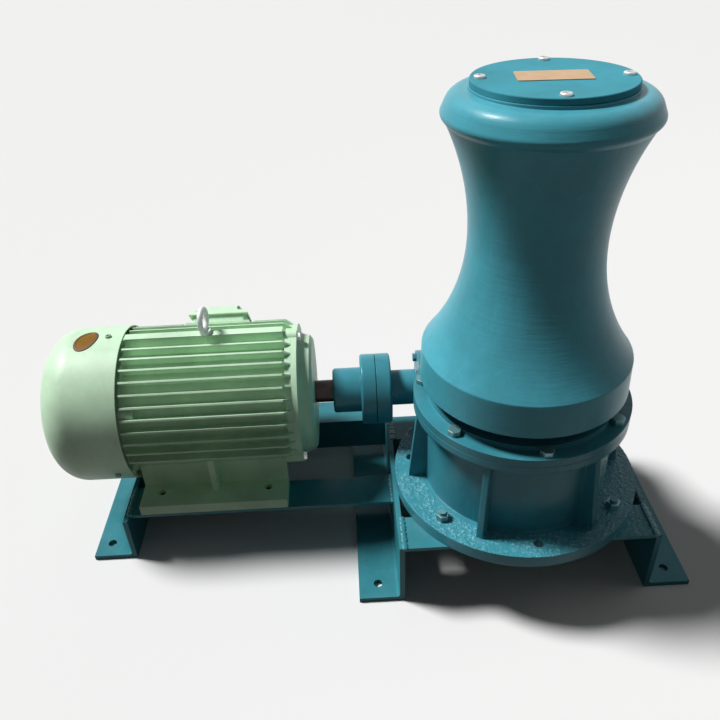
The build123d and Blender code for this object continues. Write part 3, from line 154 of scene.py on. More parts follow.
class WinchSizes(bpy.types.PropertyGroup):
    """Sizes of the trim that is added to the CAD."""
    plate_length: length("Plate length", "Along the motor's axis", 0.088)
    plate_width: length("Plate width", "Across the motor's axis", 0.045)
    plate_thickness: length("Plate thickness", "Sheet of the plate", 0.0010)
    plate_corner: length("Plate corner", "Rounding of the plate's corners", 0.0025)
    plate_rim: length("Plate rim", "Width of the plate's raised rim", 0.0022)
    plate_step: length("Plate step", "Width of the slope inside the rim", 0.0006)
    plate_sink: length("Plate sink", "How far the field lies under the rim", 0.0003)
    plate_y: length("Plate offset", "Middle of the plate behind the drum's axis", 0.002)
    plate_turn: angle("Plate turn", "How far the plate is turned on the cap", -5.0)
    badge_x: length("Badge place", "Middle of the badge along the motor's axis", -0.679)
    badge_length: length("Badge length", "Along the motor's axis", 0.034)
    badge_width: length("Badge width", "Round the cowl", 0.054)
    badge_thickness: length("Badge thickness", "Height of the badge's rim", 0.0012)
    badge_turn: angle("Badge turn", "How far the badge sits round the cowl from its top", 2.5)
    badge_lean: angle("Badge lean", "How far the badge leans on the cowl", 17.0)
    weld_leg: length("Weld leg", "Leg of the frame's fillet welds", 0.0055)
    weld_step: length("Weld step", "Distance between two ripples of a weld", 0.0045)


class WinchStudio(bpy.types.PropertyGroup):
    """Camera, lamps and floor."""
    camera_place: spot("Camera place", "Where the camera stands", (-0.2507, -0.8745, 0.9595))
    camera_turn: FloatVectorProperty(
        name="Camera turn", description="How the camera is turned", subtype="EULER", unit="ROTATION",
        default=(radians(55.672), radians(2.198), radians(-2.111)))
    camera_lens: FloatProperty(name="Lens", description="Focal length", unit="CAMERA", default=36.143)
    camera_sensor: FloatProperty(name="Sensor", description="Width of the sensor", unit="CAMERA",
                                 default=36.0)
    camera_near: length("Near clip", "Nearest distance that the camera shows", 0.02)
    key_strength: level("Key light", "Strength of the high light over the motor", 5.0)
    key_spread: angle("Key spread", "How soft the high light's shadows are", 14.0)
    key_from: FloatVectorProperty(name="Key from", description="Where the high light comes from",
                                  subtype="DIRECTION", default=(-0.54, 0.22, 0.81))
    fill_power: power("Fill lamp", "Weak lamp at the front", 0.9)
    fill_offset: spot("Fill place", "Where the fill lamp hangs from the winch's middle", (-1.2, -2.6, 1.4))
    side_power: power("Side lamp", "Weak lamp on the right", 7.0)
    side_offset: spot("Side place", "Where the side lamp hangs from the winch's middle", (2.4, 0.2, 1.8))
    weak_lamp_size: length("Weak lamp size", "Side of the weak lamps", 2.0)
    sky: level("Sky", "Strength of the even light all round", 0.055)
    backdrop: level("Backdrop", "How pale the sky looks", 0.85)
    floor_side: length("Floor side", "Side of the square floor", 24.0)
    floor_gap: length("Floor gap", "Space between the floor and the winch's feet", 0.0005)


def settings():
    """The winch's colours, sizes and studio."""
    scene = bpy.context.scene
    return scene.winch_colours, scene.winch_sizes, scene.winch_studio


# Shader helpers
def feed(tree, socket, value):
    """Link a socket to an output, or set its value."""
    if isinstance(value, bpy.types.NodeSocket):
        tree.links.new(value, socket)
    else:
        socket.default_value = value


def add(tree, kind, inputs=None, **options):
    """Add a node, set its options, and feed its inputs by name or number."""
    node = tree.nodes.new(kind)
    for name, value in options.items():
        setattr(node, name, value)
    for key, value in (inputs or {}).items():
        feed(tree, node.inputs[key], value)
    return node


def math(tree, operation, first, second=0.0):
    """Combine two values."""
    return add(tree, "ShaderNodeMath", {0: first, 1: second}, operation=operation).outputs[0]


def times(tree, first, second):
    """Multiply two values."""
    return math(tree, "MULTIPLY", first, second)


def ramp(tree, value, low, high, start=0.0, end=1.0):
    """Map a value from low..high to start..end, held at both ends."""
    node = add(tree, "ShaderNodeMapRange", {"Value": value, "From Min": low, "From Max": high,
                                            "To Min": start, "To Max": end}, clamp=True)
    return node.outputs["Result"]


def blend(tree, factor, first, second):
    """Mix two colours by a factor."""
    node = add(tree, "ShaderNodeMix", {"Factor": factor}, data_type="RGBA")
    for socket, value in ((MIX_FIRST, first), (MIX_SECOND, second)):
        feed(tree, node.inputs[socket], value if isinstance(value, bpy.types.NodeSocket) else (*value, 1.0))
    return node.outputs[MIX_RESULT]


def noise(tree, vector, scale, detail=3.0, roughness=0.5):
    """Soft noise from nought to one."""
    node = add(tree, "ShaderNodeTexNoise", {"Vector": vector, "Scale": scale, "Detail": detail,
                                            "Roughness": roughness})
    return node.outputs["Fac"]


def stretched(tree, vector, scale):
    """Coordinates scaled by a factor for each axis."""
    return add(tree, "ShaderNodeMapping", {"Vector": vector, "Scale": scale}).outputs[0]


def object_place(tree):
    """The place on the object."""
    return add(tree, "ShaderNodeTexCoord").outputs["Object"]


def shade(hue, by):
    """A colour made lighter or darker by a factor."""
    return tuple(min(1.0, c * by) for c in hue)


# Shared effects
def new_group(name, inputs, outputs):
    """Start a shader node group with named sockets, and return its tree, inputs and outputs."""
    tree = bpy.data.node_groups.new(name, "ShaderNodeTree")
    for label, value in inputs.items():
        socket = tree.interface.new_socket(label, in_out="INPUT", socket_type="NodeSocketFloat")
        socket.default_value = value
    for label, kind in outputs.items():
        tree.interface.new_socket(label, in_out="OUTPUT", socket_type=kind)
    return tree, tree.nodes.new("NodeGroupInput").outputs, tree.nodes.new("NodeGroupOutput").inputs


def rounded_edges_group():
    """Softened edges: a normal that turns over each edge, and a mask of the edges."""
    tree, given, out = new_group("Rounded edges", {"Radius": 0.002},
                                 {"Normal": "NodeSocketVector", "Edge": "NodeSocketFloat"})
    bevel = add(tree, "ShaderNodeBevel", {"Radius": given["Radius"]}, samples=6)
    face = add(tree, "ShaderNodeNewGeometry")
    same = add(tree, "ShaderNodeVectorMath", {0: bevel.outputs[0], 1: face.outputs["Normal"]},
               operation="DOT_PRODUCT")
    tree.links.new(bevel.outputs[0], out["Normal"])
    tree.links.new(ramp(tree, same.outputs["Value"], low=0.985, high=0.80), out["Edge"])
    return tree


def paint_film_group():
    """Paint as it lies on metal: fine orange peel, low lumps of the casting, blotches and runs."""
    tree, given, out = new_group(
        "Paint film", {"Peel scale": 450.0, "Peel": 0.3, "Lump scale": 60.0, "Lumps": 0.3, "Brush": 0.0},
        {"Height": "NodeSocketFloat", "Blotches": "NodeSocketFloat", "Runs": "NodeSocketFloat"})
    place = object_place(tree)
    peel = times(tree, noise(tree, place, given["Peel scale"], detail=2.0), given["Peel"])
    lumps = times(tree, noise(tree, place, given["Lump scale"], detail=4.0, roughness=0.55), given["Lumps"])
    along = stretched(tree, place, (16.0, 16.0, 190.0))
    strokes = times(tree, noise(tree, along, scale=1.0, detail=5.0, roughness=0.6), given["Brush"])
    tree.links.new(math(tree, "ADD", math(tree, "ADD", peel, lumps), strokes), out["Height"])
    clouds = noise(tree, place, scale=11.0, detail=6.0, roughness=0.62)
    tree.links.new(ramp(tree, clouds, low=0.34, high=0.66), out["Blotches"])
    streaks = noise(tree, stretched(tree, place, (60.0, 60.0, 5.0)), scale=1.0)
    tree.links.new(ramp(tree, streaks, low=0.52, high=0.78), out["Runs"])
    return tree


def dust_group():
    """Pale dust that settles on faces that look up, broken up by a fine pattern."""
    tree, given, out = new_group("Settled dust", {"Amount": 0.3}, {"Mask": "NodeSocketFloat"})
    face = add(tree, "ShaderNodeNewGeometry")
    up = add(tree, "ShaderNodeSeparateXYZ", {0: face.outputs["Normal"]}).outputs["Z"]
    lying = ramp(tree, up, low=0.55, high=0.98)
    grain = noise(tree, object_place(tree), scale=38.0, detail=8.0, roughness=0.7)
    specks = ramp(tree, grain, low=0.42, high=0.72)
    tree.links.new(times(tree, times(tree, lying, specks), given["Amount"]), out["Mask"])
    return tree


def scratches_group():
    """A few thin scratches in two directions."""
    tree, given, out = new_group("Fine scratches", {"Scale": 30.0, "Amount": 0.4},
                                 {"Mask": "NodeSocketFloat"})
    place = object_place(tree)
    marks = None
    for turn in (0.4, 1.9):
        lean = add(tree, "ShaderNodeMapping", {"Vector": place, "Rotation": (turn, 0.7, turn),
                                               "Scale": (1.0, 14.0, 0.7)}).outputs[0]
        line = ramp(tree, noise(tree, lean, given["Scale"], detail=2.0), low=0.70, high=0.74)
        marks = line if marks is None else math(tree, "MAXIMUM", marks, line)
    tree.links.new(times(tree, marks, given["Amount"]), out["Mask"])
    return tree


def rough_casting_group():
    """Coarse skin of a casting: patches on a level outside a radius, and all over low walls on the right,
    with a mask of painted glints on the tops of its grains.
    """
    tree, given, out = new_group(
        "Rough casting", {"Low": 0.0, "High": 0.1, "Radius": 0.1, "Wall top": 0.2, "Right": 0.05},
        {"Height": "NodeSocketFloat", "Mask": "NodeSocketFloat", "Glint": "NodeSocketFloat"})
    place = object_place(tree)
    axes = add(tree, "ShaderNodeSeparateXYZ", {0: place}).outputs
    flat = add(tree, "ShaderNodeCombineXYZ", {"X": axes["X"], "Y": axes["Y"]}).outputs[0]
    from_axis = add(tree, "ShaderNodeVectorMath", {0: flat}, operation="LENGTH").outputs["Value"]
    above = math(tree, "GREATER_THAN", axes["Z"], given["Low"])
    below = math(tree, "LESS_THAN", axes["Z"], given["High"])
    outside = math(tree, "GREATER_THAN", from_axis, given["Radius"])
    patches = ramp(tree, noise(tree, place, scale=13.0), low=0.36, high=0.52)
    on_level = times(tree, times(tree, times(tree, above, below), outside), patches)
    far = ramp(tree, math(tree, "SUBTRACT", axes["X"], given["Right"]), low=0.0, high=0.03)
    under_top = ramp(tree, math(tree, "SUBTRACT", given["Wall top"], axes["Z"]), low=0.0, high=0.03)
    on_wall = times(tree, times(tree, far, under_top), above)
    mask = math(tree, "MAXIMUM", on_level, on_wall)
    grains = ramp(tree, noise(tree, place, scale=190.0, detail=4.0, roughness=0.65), low=0.34, high=0.68)
    lumps = ramp(tree, noise(tree, place, scale=95.0, detail=2.0), low=0.30, high=0.70)
    tree.links.new(times(tree, math(tree, "ADD", grains, lumps), mask), out["Height"])
    tree.links.new(mask, out["Mask"])
    # Painted highlight: the highest grains of the skin make the mask of painted glints
    tree.links.new(times(tree, ramp(tree, grains, low=0.62, high=0.92), mask), out["Glint"])
    return tree


EFFECTS = {"edges": rounded_edges_group, "film": paint_film_group, "dust": dust_group,
           "scratches": scratches_group, "crust": rough_casting_group}
GROUPS = {}


def effect(tree, name, **inputs):
    """Place a shared effect in a material, with its own values."""
    if name not in GROUPS:
        GROUPS[name] = EFFECTS[name]()
    node = tree.nodes.new("ShaderNodeGroup")
    node.node_tree = GROUPS[name]
    for label, value in inputs.items():
        feed(tree, node.inputs[label.replace("_", " ")], value)
    return node.outputs


# Materials
def start_material(name):
    """A fresh material with a Principled shader on its output."""
    material = bpy.data.materials.new(name)
    material.use_nodes = True
    tree = material.node_tree
    tree.nodes.clear()
    shader = tree.nodes.new("ShaderNodeBsdfPrincipled")
    end = tree.nodes.new("ShaderNodeOutputMaterial")
    tree.links.new(shader.outputs[0], end.inputs["Surface"])
    return material, tree, shader


def dress(tree, shader, base, gloss, relief):
    """Link a shader's colour, its roughness and the bump of its relief."""
    bump = add(tree, "ShaderNodeBump", relief)
    tree.links.new(base, shader.inputs["Base Color"])
    tree.links.new(gloss, shader.inputs["Roughness"])
    tree.links.new(bump.outputs[0], shader.inputs["Normal"])


def painted(name, hue, rough, edge=0.0015, peel=0.2, lumps=0.3, lump_scale=60.0, brush=0.0, chips=0.25,
            dust=0.2, coat=0.05, shine=0.34, crust=None):
    """Gloss paint on metal, with peel, blotches, runs, worn edges, scratches and settled dust."""
    hues = settings()[0]
    material, tree, shader = start_material(name)
    edges = effect(tree, "edges", Radius=edge)
    film = effect(tree, "film", Peel=peel, Lumps=lumps, Lump_scale=lump_scale, Brush=brush)
    lines = effect(tree, "scratches", Amount=0.35)["Mask"]
    settled = effect(tree, "dust", Amount=dust)["Mask"]
    base = blend(tree, film["Blotches"], shade(hue, 0.86), shade(hue, 1.10))
    base = blend(tree, times(tree, film["Runs"], 0.25), base, shade(hue, 0.70))
    flakes = ramp(tree, noise(tree, object_place(tree), scale=70.0, detail=5.0), low=0.56, high=0.70)
    worn = times(tree, times(tree, edges["Edge"], flakes), chips)
    base = blend(tree, math(tree, "MAXIMUM", worn, times(tree, lines, 0.5)), base, shade(hue, 1.9))
    base = blend(tree, settled, base, hues.dust)
    height = film["Height"]
    gloss = math(tree, "ADD", ramp(tree, film["Blotches"], 0.0, 1.0, start=rough - 0.05, end=rough + 0.05),
                 times(tree, settled, 0.35))
    if crust:
        skin = effect(tree, "crust", **crust)
        height = math(tree, "ADD", height, times(tree, skin["Height"], 3.2))
        gloss = math(tree, "ADD", gloss, times(tree, skin["Mask"], -0.08))
        # The skin is painted a lighter teal: partly its own paler rough tone, partly painted light that lifts
        # its shaded right walls
        base = blend(tree, times(tree, skin["Mask"], 0.4), base, shade(hue, 1.3))
        # Painted highlight: the skin's highest grains take a pale teal as glints
        base = blend(tree, times(tree, skin["Glint"], 0.65), base, hues.crust_painted_glint)
    dress(tree, shader, base, gloss, {"Strength": 0.5, "Distance": 0.0008, "Height": height,
                                      "Normal": edges["Normal"]})
    shader.inputs["Coat Weight"].default_value = coat
    shader.inputs["Coat Roughness"].default_value = 0.12
    shader.inputs["Specular IOR Level"].default_value = shine
    return material


def bare_metal(name, hue, rough, edge=0.0006, brushed=0.0, stain=0.3, metallic=1.0, shine=0.5):
    """Plain metal with blotched shine, fine scratches and, where asked, turning marks."""
    material, tree, shader = start_material(name)
    edges = effect(tree, "edges", Radius=edge)
    place = object_place(tree)
    blotches = ramp(tree, noise(tree, place, scale=55.0, detail=6.0, roughness=0.6), low=0.36, high=0.66)
    lines = effect(tree, "scratches", Scale=90.0, Amount=0.5)["Mask"]
    base = blend(tree, times(tree, blotches, stain), hue, shade(hue, 0.62))
    base = blend(tree, times(tree, edges["Edge"], 0.5), base, shade(hue, 1.25))
    gloss = math(tree, "ADD", ramp(tree, blotches, 0.0, 1.0, start=rough, end=rough + 0.14),
                 times(tree, lines, 0.2))
    height = noise(tree, place, scale=900.0, detail=2.0)
    if brushed:
        marks = noise(tree, stretched(tree, place, (2600.0, 90.0, 90.0)), scale=1.0)
        height = math(tree, "ADD", times(tree, marks, brushed), height)
    dress(tree, shader, base, gloss, {"Strength": 0.25, "Distance": 0.0003, "Height": height,
                                      "Normal": edges["Normal"]})
    shader.inputs["Metallic"].default_value = metallic
    shader.inputs["Specular IOR Level"].default_value = shine
    return material


def moulded(name, hue, rough):
    """Rubber or moulded plastic with a fine grain and a little dust."""
    material, tree, shader = start_material(name)
    edges = effect(tree, "edges", Radius=0.0006)
    settled = effect(tree, "dust", Amount=0.25)["Mask"]
    place = object_place(tree)
    grain = noise(tree, place, scale=700.0)
    clouds = ramp(tree, noise(tree, place, scale=40.0, detail=4.0), low=0.35, high=0.65)
    base = blend(tree, clouds, shade(hue, 0.8), shade(hue, 1.3))
    base = blend(tree, settled, base, settings()[0].plastic_dust)
    gloss = ramp(tree, grain, low=0.3, high=0.7, start=rough - 0.08, end=rough + 0.08)
    dress(tree, shader, base, gloss, {"Strength": 0.3, "Distance": 0.0003, "Height": grain,
                                      "Normal": edges["Normal"]})
    return material


def winding_material(name):
    """Varnished copper end windings: a bundle of wires laid round the stator."""
    hues = settings()[0]
    material, tree, shader = start_material(name)
    middle = add(tree, "ShaderNodeMapping", {"Vector": object_place(tree),
                                             "Location": (0.0, -MOTOR_AXIS.y, -MOTOR_AXIS.z)}).outputs[0]
    wires = add(tree, "ShaderNodeTexWave", {"Vector": middle, "Scale": 90.0, "Distortion": 6.0,
                                            "Detail": 2.0}, wave_type="BANDS", bands_direction="X")
    wires = wires.outputs["Fac"]
    base = blend(tree, wires, hues.copper_dark, hues.copper_light)
    gloss = ramp(tree, wires, 0.0, 1.0, start=0.5, end=0.28)
    dress(tree, shader, base, gloss, {"Strength": 0.7, "Distance": 0.0008, "Height": wires})
    shader.inputs["Metallic"].default_value = 0.6
    return material


# CAD nodes by finish
CASTING_NODES = ["base_housing"]
COVER_NODES = ["top_cover", "worm_cover_open", "worm_cover_blind", "coupling_motor_half",
               "coupling_worm_half"]
FRAME_NODES = ["left_end_angle", "middle_angle", "right_end_angle", "front_bed_rail", "back_bed_rail",
               "front_motor_rail", "back_motor_rail"]
MOTOR_CAST_NODES = ["motor_frame", "motor_feet", "drive_end_shield", "rear_end_shield", "terminal_box"]
MOTOR_SHEET_NODES = ["fan_cowl", "terminal_box_lid"]
PAINTED_BOLT_NODES = ["base_bolts", "worm_cover_screws"]
WORN_BOLT_NODES = ["cover_bolts", "base_nuts"]
MOTOR_SCREW_NODES = ["cowl_screws", "terminal_box_screws"]
ZINC_NODES = ["cap_screws", "end_shield_bolts"]
SHAFT_NODES = ["motor_shaft", "main_shaft", "worm_shaft", "coupling_keys", "shaft_keys", "drum_nut",
               "spacer_sleeve", "motor_foot_bolts", "coupling_bolts"]
BEARING_NODES = [name for name in NODES if "bearing" in name]

# Name, colour and roughness of the materials that only one node has
INNER_NODES = {"stator_core": ("core steel", (0.20, 0.20, 0.21), 0.50),
               "rotor_core": ("rotor steel", (0.24, 0.24, 0.25), 0.40),
               "rotor_cage": ("cage aluminium", (0.66, 0.66, 0.67), 0.40),
               "worm_wheel_rim": ("bronze", (0.62, 0.36, 0.13), 0.32),
               "worm_wheel_hub": ("grey iron", (0.23, 0.23, 0.23), 0.55)}
MOULDED_NODES = {"cooling_fan": ("fan plastic", (0.018, 0.018, 0.020), 0.45),
                 "cable_gland": ("gland plastic", (0.020, 0.020, 0.022), 0.40),
                 "shaft_seals": ("seal rubber", (0.012, 0.012, 0.012), 0.60)}


def cover(names, material):
    """Give CAD nodes a material on all their slots."""
    for name in names:
        for place in NODES[name].material_slots:
            place.material = material


def new_piece(name, shape, material, body):
    """Turn a bmesh into a piece that rides on a body."""
    mesh = bpy.data.meshes.new(name)
    bmesh.ops.recalc_face_normals(shape, faces=shape.faces)
    shape.to_mesh(mesh)
    shape.free()
    mesh.materials.append(material)
    piece = bpy.data.objects.new(name, mesh)
    bpy.context.scene.collection.objects.link(piece)
    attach(piece, body)
    return piece


class WINCH_OT_paint_capstan(bpy.types.Operator):
    """Paint the drum, the gear base, the coupling and the painted bolts"""
    bl_idname = "winch.paint_capstan"
    bl_label = "Paint capstan"

    def execute(self, context):
        hues = settings()[0]
        hue = hues.capstan_teal
        cover(["drum"], painted("drum gloss", hues.drum_teal, 0.35, peel=0.12, lump_scale=22.0, brush=0.8,
                                chips=0.0, dust=0.05, shine=0.18))
        # The cap takes the drum teal darkened: a painted shade that holds down the strong light on its top
        # face
        cover(["drum_cap"], painted("cap gloss", shade(hues.drum_teal, 0.87), 0.55, peel=0.12,
                                    lump_scale=22.0, chips=0.0, dust=0.05, coat=0.0, shine=0.03))
        cover(CASTING_NODES, painted("casting gloss", hue, 0.32, edge=0.0035, peel=0.15, lumps=0.9, brush=0.2,
                                     dust=0.05, shine=0.18, crust=FLANGE_CRUST))
        cover(COVER_NODES, painted("cover gloss", hue, 0.30, edge=0.0016, lumps=0.4, dust=0.05, shine=0.18))
        cover(PAINTED_BOLT_NODES, painted("bolt paint", hue, 0.35, edge=0.0010, chips=1.0, dust=0.5))
        cover(WORN_BOLT_NODES, bare_metal("worn bolt paint", hues.worn_bolt, 0.30, edge=0.0012, metallic=0.5))
        return {"FINISHED"}


class WINCH_OT_paint_frame(bpy.types.Operator):
    """Paint the angles and rails of the welded frame"""
    bl_idname = "winch.paint_frame"
    bl_label = "Paint frame"

    def execute(self, context):
        cover(FRAME_NODES, painted("frame paint", settings()[0].frame_teal, 0.34, edge=0.0012, peel=0.25,
                                   lumps=0.6, lump_scale=35.0, chips=0.5, dust=0.08, shine=0.18,
                                   crust=BED_CRUST))
        return {"FINISHED"}


class WINCH_OT_paint_motor(bpy.types.Operator):
    """Paint the motor's castings and pressed sheet"""
    bl_idname = "winch.paint_motor"
    bl_label = "Paint motor"

    def execute(self, context):
        hue = settings()[0].motor_green
        cover(MOTOR_CAST_NODES, painted("motor casting paint", hue, 0.40, edge=0.0012, lumps=0.7,
                                        lump_scale=90.0, chips=0.15, dust=0.1, coat=0.02, shine=0.2))
        cover(MOTOR_SHEET_NODES, painted("motor sheet paint", hue, 0.46, edge=0.0012, peel=0.12, lumps=0.15,
                                         lump_scale=16.0, chips=0.1, dust=0.1, coat=0.02))
        # The screws take the motor green darkened: a painted shade for the dimples and cross recesses they
        # sit in
        cover(MOTOR_SCREW_NODES, painted("motor screw paint", shade(hue, 0.45), 0.45, edge=0.0008, chips=0.6))
        return {"FINISHED"}


class WINCH_OT_finish_metals(bpy.types.Operator):
    """Give the shafts, bearings, fasteners and inner pieces their metals"""
    bl_idname = "winch.finish_metals"
    bl_label = "Finish metals"

    def execute(self, context):
        hues = settings()[0]
        cover(ZINC_NODES, bare_metal("zinc plate", hues.zinc, 0.40, metallic=0.7))
        cover(["lifting_eye"], bare_metal("eye plating", shade(hues.zinc, 1.1), 0.50, metallic=0.3))
        cover(SHAFT_NODES, bare_metal("oiled steel", hues.oiled_steel, 0.34, brushed=1.0))
        cover(BEARING_NODES, bare_metal("bearing steel", hues.bearing_steel, 0.16, stain=0.1))
        for node, (name, hue, rough) in INNER_NODES.items():
            cover([node], bare_metal(name, hue, rough))
        for node, (name, hue, rough) in MOULDED_NODES.items():
            cover([node], moulded(name, hue, rough))
        cover(["stator_windings"], winding_material("varnished copper"))
        return {"FINISHED"}


class WINCH_OT_cap_plate(bpy.types.Operator):
    """Lay the bare plate on the drum's cap"""
    bl_idname = "winch.cap_plate"
    bl_label = "Cap plate"

    def execute(self, context):
        hues, sizes, _ = settings()
        shape = bmesh.new()
        bmesh.ops.create_grid(shape, x_segments=1, y_segments=1, size=0.5)
        bmesh.ops.scale(shape, vec=(sizes.plate_length, sizes.plate_width, 1.0), verts=shape.verts)
        bmesh.ops.bevel(shape, geom=shape.verts[:], offset=sizes.plate_corner, affect="VERTICES", segments=4,
                        profile=0.5, material=-1)
        rim = bmesh.ops.inset_region(shape, faces=shape.faces[:], thickness=sizes.plate_rim, depth=0.0)
        field = [face for face in shape.faces if face not in rim["faces"]]
        bmesh.ops.inset_region(shape, faces=field, thickness=sizes.plate_step, depth=-sizes.plate_sink)
        bmesh.ops.solidify(shape, geom=shape.faces[:], thickness=sizes.plate_thickness)
        bmesh.ops.rotate(shape, verts=shape.verts, cent=(0.0, 0.0, 0.0),
                         matrix=Matrix.Rotation(sizes.plate_turn, 3, "Z"))
        low = min(vert.co.z for vert in shape.verts)
        bmesh.ops.translate(shape, vec=(0.0, sizes.plate_y, CAP_TOP - low), verts=shape.verts)
        lacquer = bare_metal("plate lacquer", hues.plate_beige, 0.50, edge=0.0004, stain=0.2, metallic=0.05,
                             shine=0.1)
        new_piece("cap_plate", shape, lacquer, "drum")
        return {"FINISHED"}


class WINCH_OT_cowl_badge(bpy.types.Operator):
    """Lay the bare oval badge on the fan cowl"""
    bl_idname = "winch.cowl_badge"
    bl_label = "Cowl badge"

    def execute(self, context):
        hues, sizes, _ = settings()
        shape = bmesh.new()
        bmesh.ops.create_circle(shape, cap_ends=False, segments=64, radius=0.5)
        loop = shape.edges[:]
        before = 1.0
        for reach, rise, slot in BADGE_RINGS:
            grown = bmesh.ops.extrude_edge_only(shape, edges=loop)["geom"]
            ring = [item for item in grown if isinstance(item, bmesh.types.BMVert)]
            loop = [item for item in grown if isinstance(item, bmesh.types.BMEdge)]
            bmesh.ops.scale(shape, vec=(reach / before, reach / before, 1.0), verts=ring)
            bmesh.ops.translate(shape, vec=(0.0, 0.0, rise * sizes.badge_thickness), verts=ring)
            for face in grown:
                if isinstance(face, bmesh.types.BMFace):
                    face.material_index = slot
            before = reach
        bmesh.ops.contextual_create(shape, geom=loop)
        bmesh.ops.scale(shape, vec=(sizes.badge_length, sizes.badge_width, 1.0), verts=shape.verts)
        bmesh.ops.rotate(shape, verts=shape.verts, cent=(0.0, 0.0, 0.0),
                         matrix=Matrix.Rotation(sizes.badge_lean, 3, "Z"))
        for vert in shape.verts:
            turn = vert.co.y / COWL_RADIUS + sizes.badge_turn
            out = COWL_RADIUS + vert.co.z
            vert.co = (vert.co.x + sizes.badge_x, MOTOR_AXIS.y - out * sin(turn),
                       MOTOR_AXIS.z + out * cos(turn))
        foil = bare_metal("badge foil", hues.badge_gold, 0.40, edge=0.0005, stain=0.6, metallic=0.2,
                          shine=0.1)
        badge = new_piece("cowl_badge", shape, foil, "frame")
        rim = bare_metal("badge rim", hues.badge_brown, 0.45, edge=0.0004, metallic=0.2)
        badge.data.materials.append(rim)
        return {"FINISHED"}


class WINCH_OT_weld_beads(bpy.types.Operator):
    """Run weld beads along the seams between the rails and the angles"""
    bl_idname = "winch.weld_beads"
    bl_label = "Weld beads"

    def execute(self, context):
        hues, sizes, _ = settings()
        shape = bmesh.new()
        for rail in WELDED_RAILS:
            low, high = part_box(rail)
            for end in (low.x, high.x):
                self.bead(shape, end, low.y, high.y, high.z, sizes)
        paint = painted("weld paint", hues.frame_teal, 0.32, edge=0.0004, peel=0.3, lumps=0.5,
                        lump_scale=120.0, chips=0.2, dust=0.0)
        piece = new_piece("weld_beads", shape, paint, "frame")
        piece.data.shade_smooth()
        return {"FINISHED"}

    def bead(self, shape, x, y_low, y_high, z, sizes):
        """Lay overlapping ripples along a seam that runs across the frame."""
        count = round((y_high - y_low) / sizes.weld_step)
        pitch = (y_high - y_low) / count
        for i in range(count):
            ripple = bmesh.ops.create_uvsphere(shape, u_segments=10, v_segments=6, radius=0.5)["verts"]
            leg = sizes.weld_leg * (1.0 + sum(amount * sin(rate * i) for amount, rate in RIPPLE_SWELLS))
            bmesh.ops.scale(shape, verts=ripple,
                            vec=(RIPPLE_WIDTH * leg, RIPPLE_REACH * sizes.weld_step, RIPPLE_HEIGHT * leg))
            bmesh.ops.translate(shape, verts=ripple, vec=(x, y_low + (i + 0.5) * pitch, z))


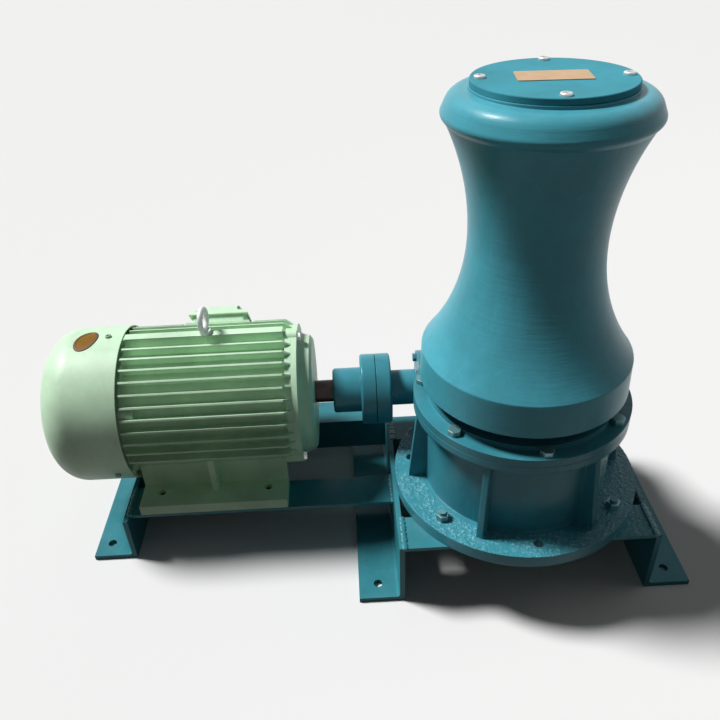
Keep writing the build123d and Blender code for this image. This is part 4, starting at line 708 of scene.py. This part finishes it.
class WINCH_OT_stage(bpy.types.Operator):
    """Set up the floor, the lamps, the sky and the camera"""
    bl_idname = "winch.stage"
    bl_label = "Stage"

    def execute(self, context):
        hues, _, studio = settings()
        scene = context.scene
        self.lay_floor(scene, hues, studio)
        self.hang_lamps(scene, studio)
        self.light_sky(scene, studio)
        self.set_camera(scene, studio)
        scene.view_settings.view_transform = "Standard"
        return {"FINISHED"}

    def lay_floor(self, scene, hues, studio):
        """Lay a floor that looks pale and throws little light back."""
        shape = bmesh.new()
        bmesh.ops.create_grid(shape, x_segments=1, y_segments=1, size=studio.floor_side / 2)
        mesh = bpy.data.meshes.new("floor")
        shape.to_mesh(mesh)
        shape.free()
        floor = bpy.data.objects.new("floor", mesh)
        scene.collection.objects.link(floor)
        floor.location.z = CAD_BOX[0].z - studio.floor_gap
        material, tree, shader = start_material("studio floor")
        tree.links.new(blend(tree, self.seen_rays(tree), hues.floor_bounce, hues.floor_pale),
                       shader.inputs["Base Color"])
        shader.inputs["Roughness"].default_value = 0.9
        shader.inputs["Specular IOR Level"].default_value = 0.1
        mesh.materials.append(material)

    def hang_lamps(self, scene, studio):
        """Hang the high light and the two weak lamps."""
        key = bpy.data.lights.new("key light", "SUN")
        key.energy = studio.key_strength
        key.angle = studio.key_spread
        self.aim(scene, key, studio.key_from)
        for name, watts, offset in (("fill lamp", studio.fill_power, studio.fill_offset),
                                    ("side lamp", studio.side_power, studio.side_offset)):
            lamp = bpy.data.lights.new(name, "AREA")
            lamp.shape = "SQUARE"
            lamp.size = studio.weak_lamp_size
            lamp.energy = watts
            self.aim(scene, lamp, offset)

    def light_sky(self, scene, studio):
        """Light the winch weakly from all round, with a sky that looks pale."""
        world = bpy.data.worlds.new("studio sky")
        world.use_nodes = True
        tree = world.node_tree
        sky = tree.nodes["Background"]
        sky.inputs["Color"].default_value = (1.0, 1.0, 1.0, 1.0)
        shown = times(tree, self.seen_rays(tree), studio.backdrop - studio.sky)
        tree.links.new(math(tree, "ADD", shown, studio.sky), sky.inputs["Strength"])
        scene.world = world

    def set_camera(self, scene, studio):
        """Set the camera where the photograph was taken from."""
        eye = bpy.data.cameras.new("camera")
        eye.sensor_width = studio.camera_sensor
        eye.lens = studio.camera_lens
        eye.clip_start = studio.camera_near
        camera = bpy.data.objects.new("camera", eye)
        scene.collection.objects.link(camera)
        camera.location = studio.camera_place
        camera.rotation_euler = studio.camera_turn
        scene.camera = camera

    def seen_rays(self, tree):
        """One for rays that show a surface to the camera, in a mirror or through glass, else nought."""
        ray = add(tree, "ShaderNodeLightPath").outputs
        direct = math(tree, "MAXIMUM", ray["Is Camera Ray"], ray["Is Glossy Ray"])
        return math(tree, "MAXIMUM", direct, ray["Is Transmission Ray"])

    def aim(self, scene, light, offset):
        """Hang a light at an offset from the winch's middle and point it there."""
        lamp = bpy.data.objects.new(light.name, light)
        scene.collection.objects.link(lamp)
        offset = Vector(offset)
        lamp.location = (CAD_BOX[0] + CAD_BOX[1]) / 2 + offset
        lamp.rotation_euler = (-offset).to_track_quat("-Z", "Y").to_euler()


class WINCH_PT_panel(bpy.types.Panel):
    """Panel with the winch's steps"""
    bl_idname = "WINCH_PT_panel"
    bl_label = "Winch"
    bl_space_type = "VIEW_3D"
    bl_region_type = "UI"
    bl_category = "Winch"

    def draw(self, context):
        for step in STEPS:
            self.layout.operator(step.bl_idname)


STEPS = (WINCH_OT_paint_capstan, WINCH_OT_paint_frame, WINCH_OT_paint_motor, WINCH_OT_finish_metals,
         WINCH_OT_cap_plate, WINCH_OT_cowl_badge, WINCH_OT_weld_beads, WINCH_OT_stage)
CLASSES = (WinchColours, WinchSizes, WinchStudio) + STEPS + (WINCH_PT_panel,)


def register():
    for item in CLASSES:
        bpy.utils.register_class(item)
    bpy.types.Scene.winch_colours = PointerProperty(type=WinchColours)
    bpy.types.Scene.winch_sizes = PointerProperty(type=WinchSizes)
    bpy.types.Scene.winch_studio = PointerProperty(type=WinchStudio)


def unregister():
    del bpy.types.Scene.winch_studio
    del bpy.types.Scene.winch_sizes
    del bpy.types.Scene.winch_colours
    for item in reversed(CLASSES):
        bpy.utils.unregister_class(item)


def main():
    register()
    bpy.ops.winch.paint_capstan()
    bpy.ops.winch.paint_frame()
    bpy.ops.winch.paint_motor()
    bpy.ops.winch.finish_metals()
    bpy.ops.winch.cap_plate()
    bpy.ops.winch.cowl_badge()
    bpy.ops.winch.weld_beads()
    bpy.ops.winch.stage()


if __name__ == "__main__":
    main()
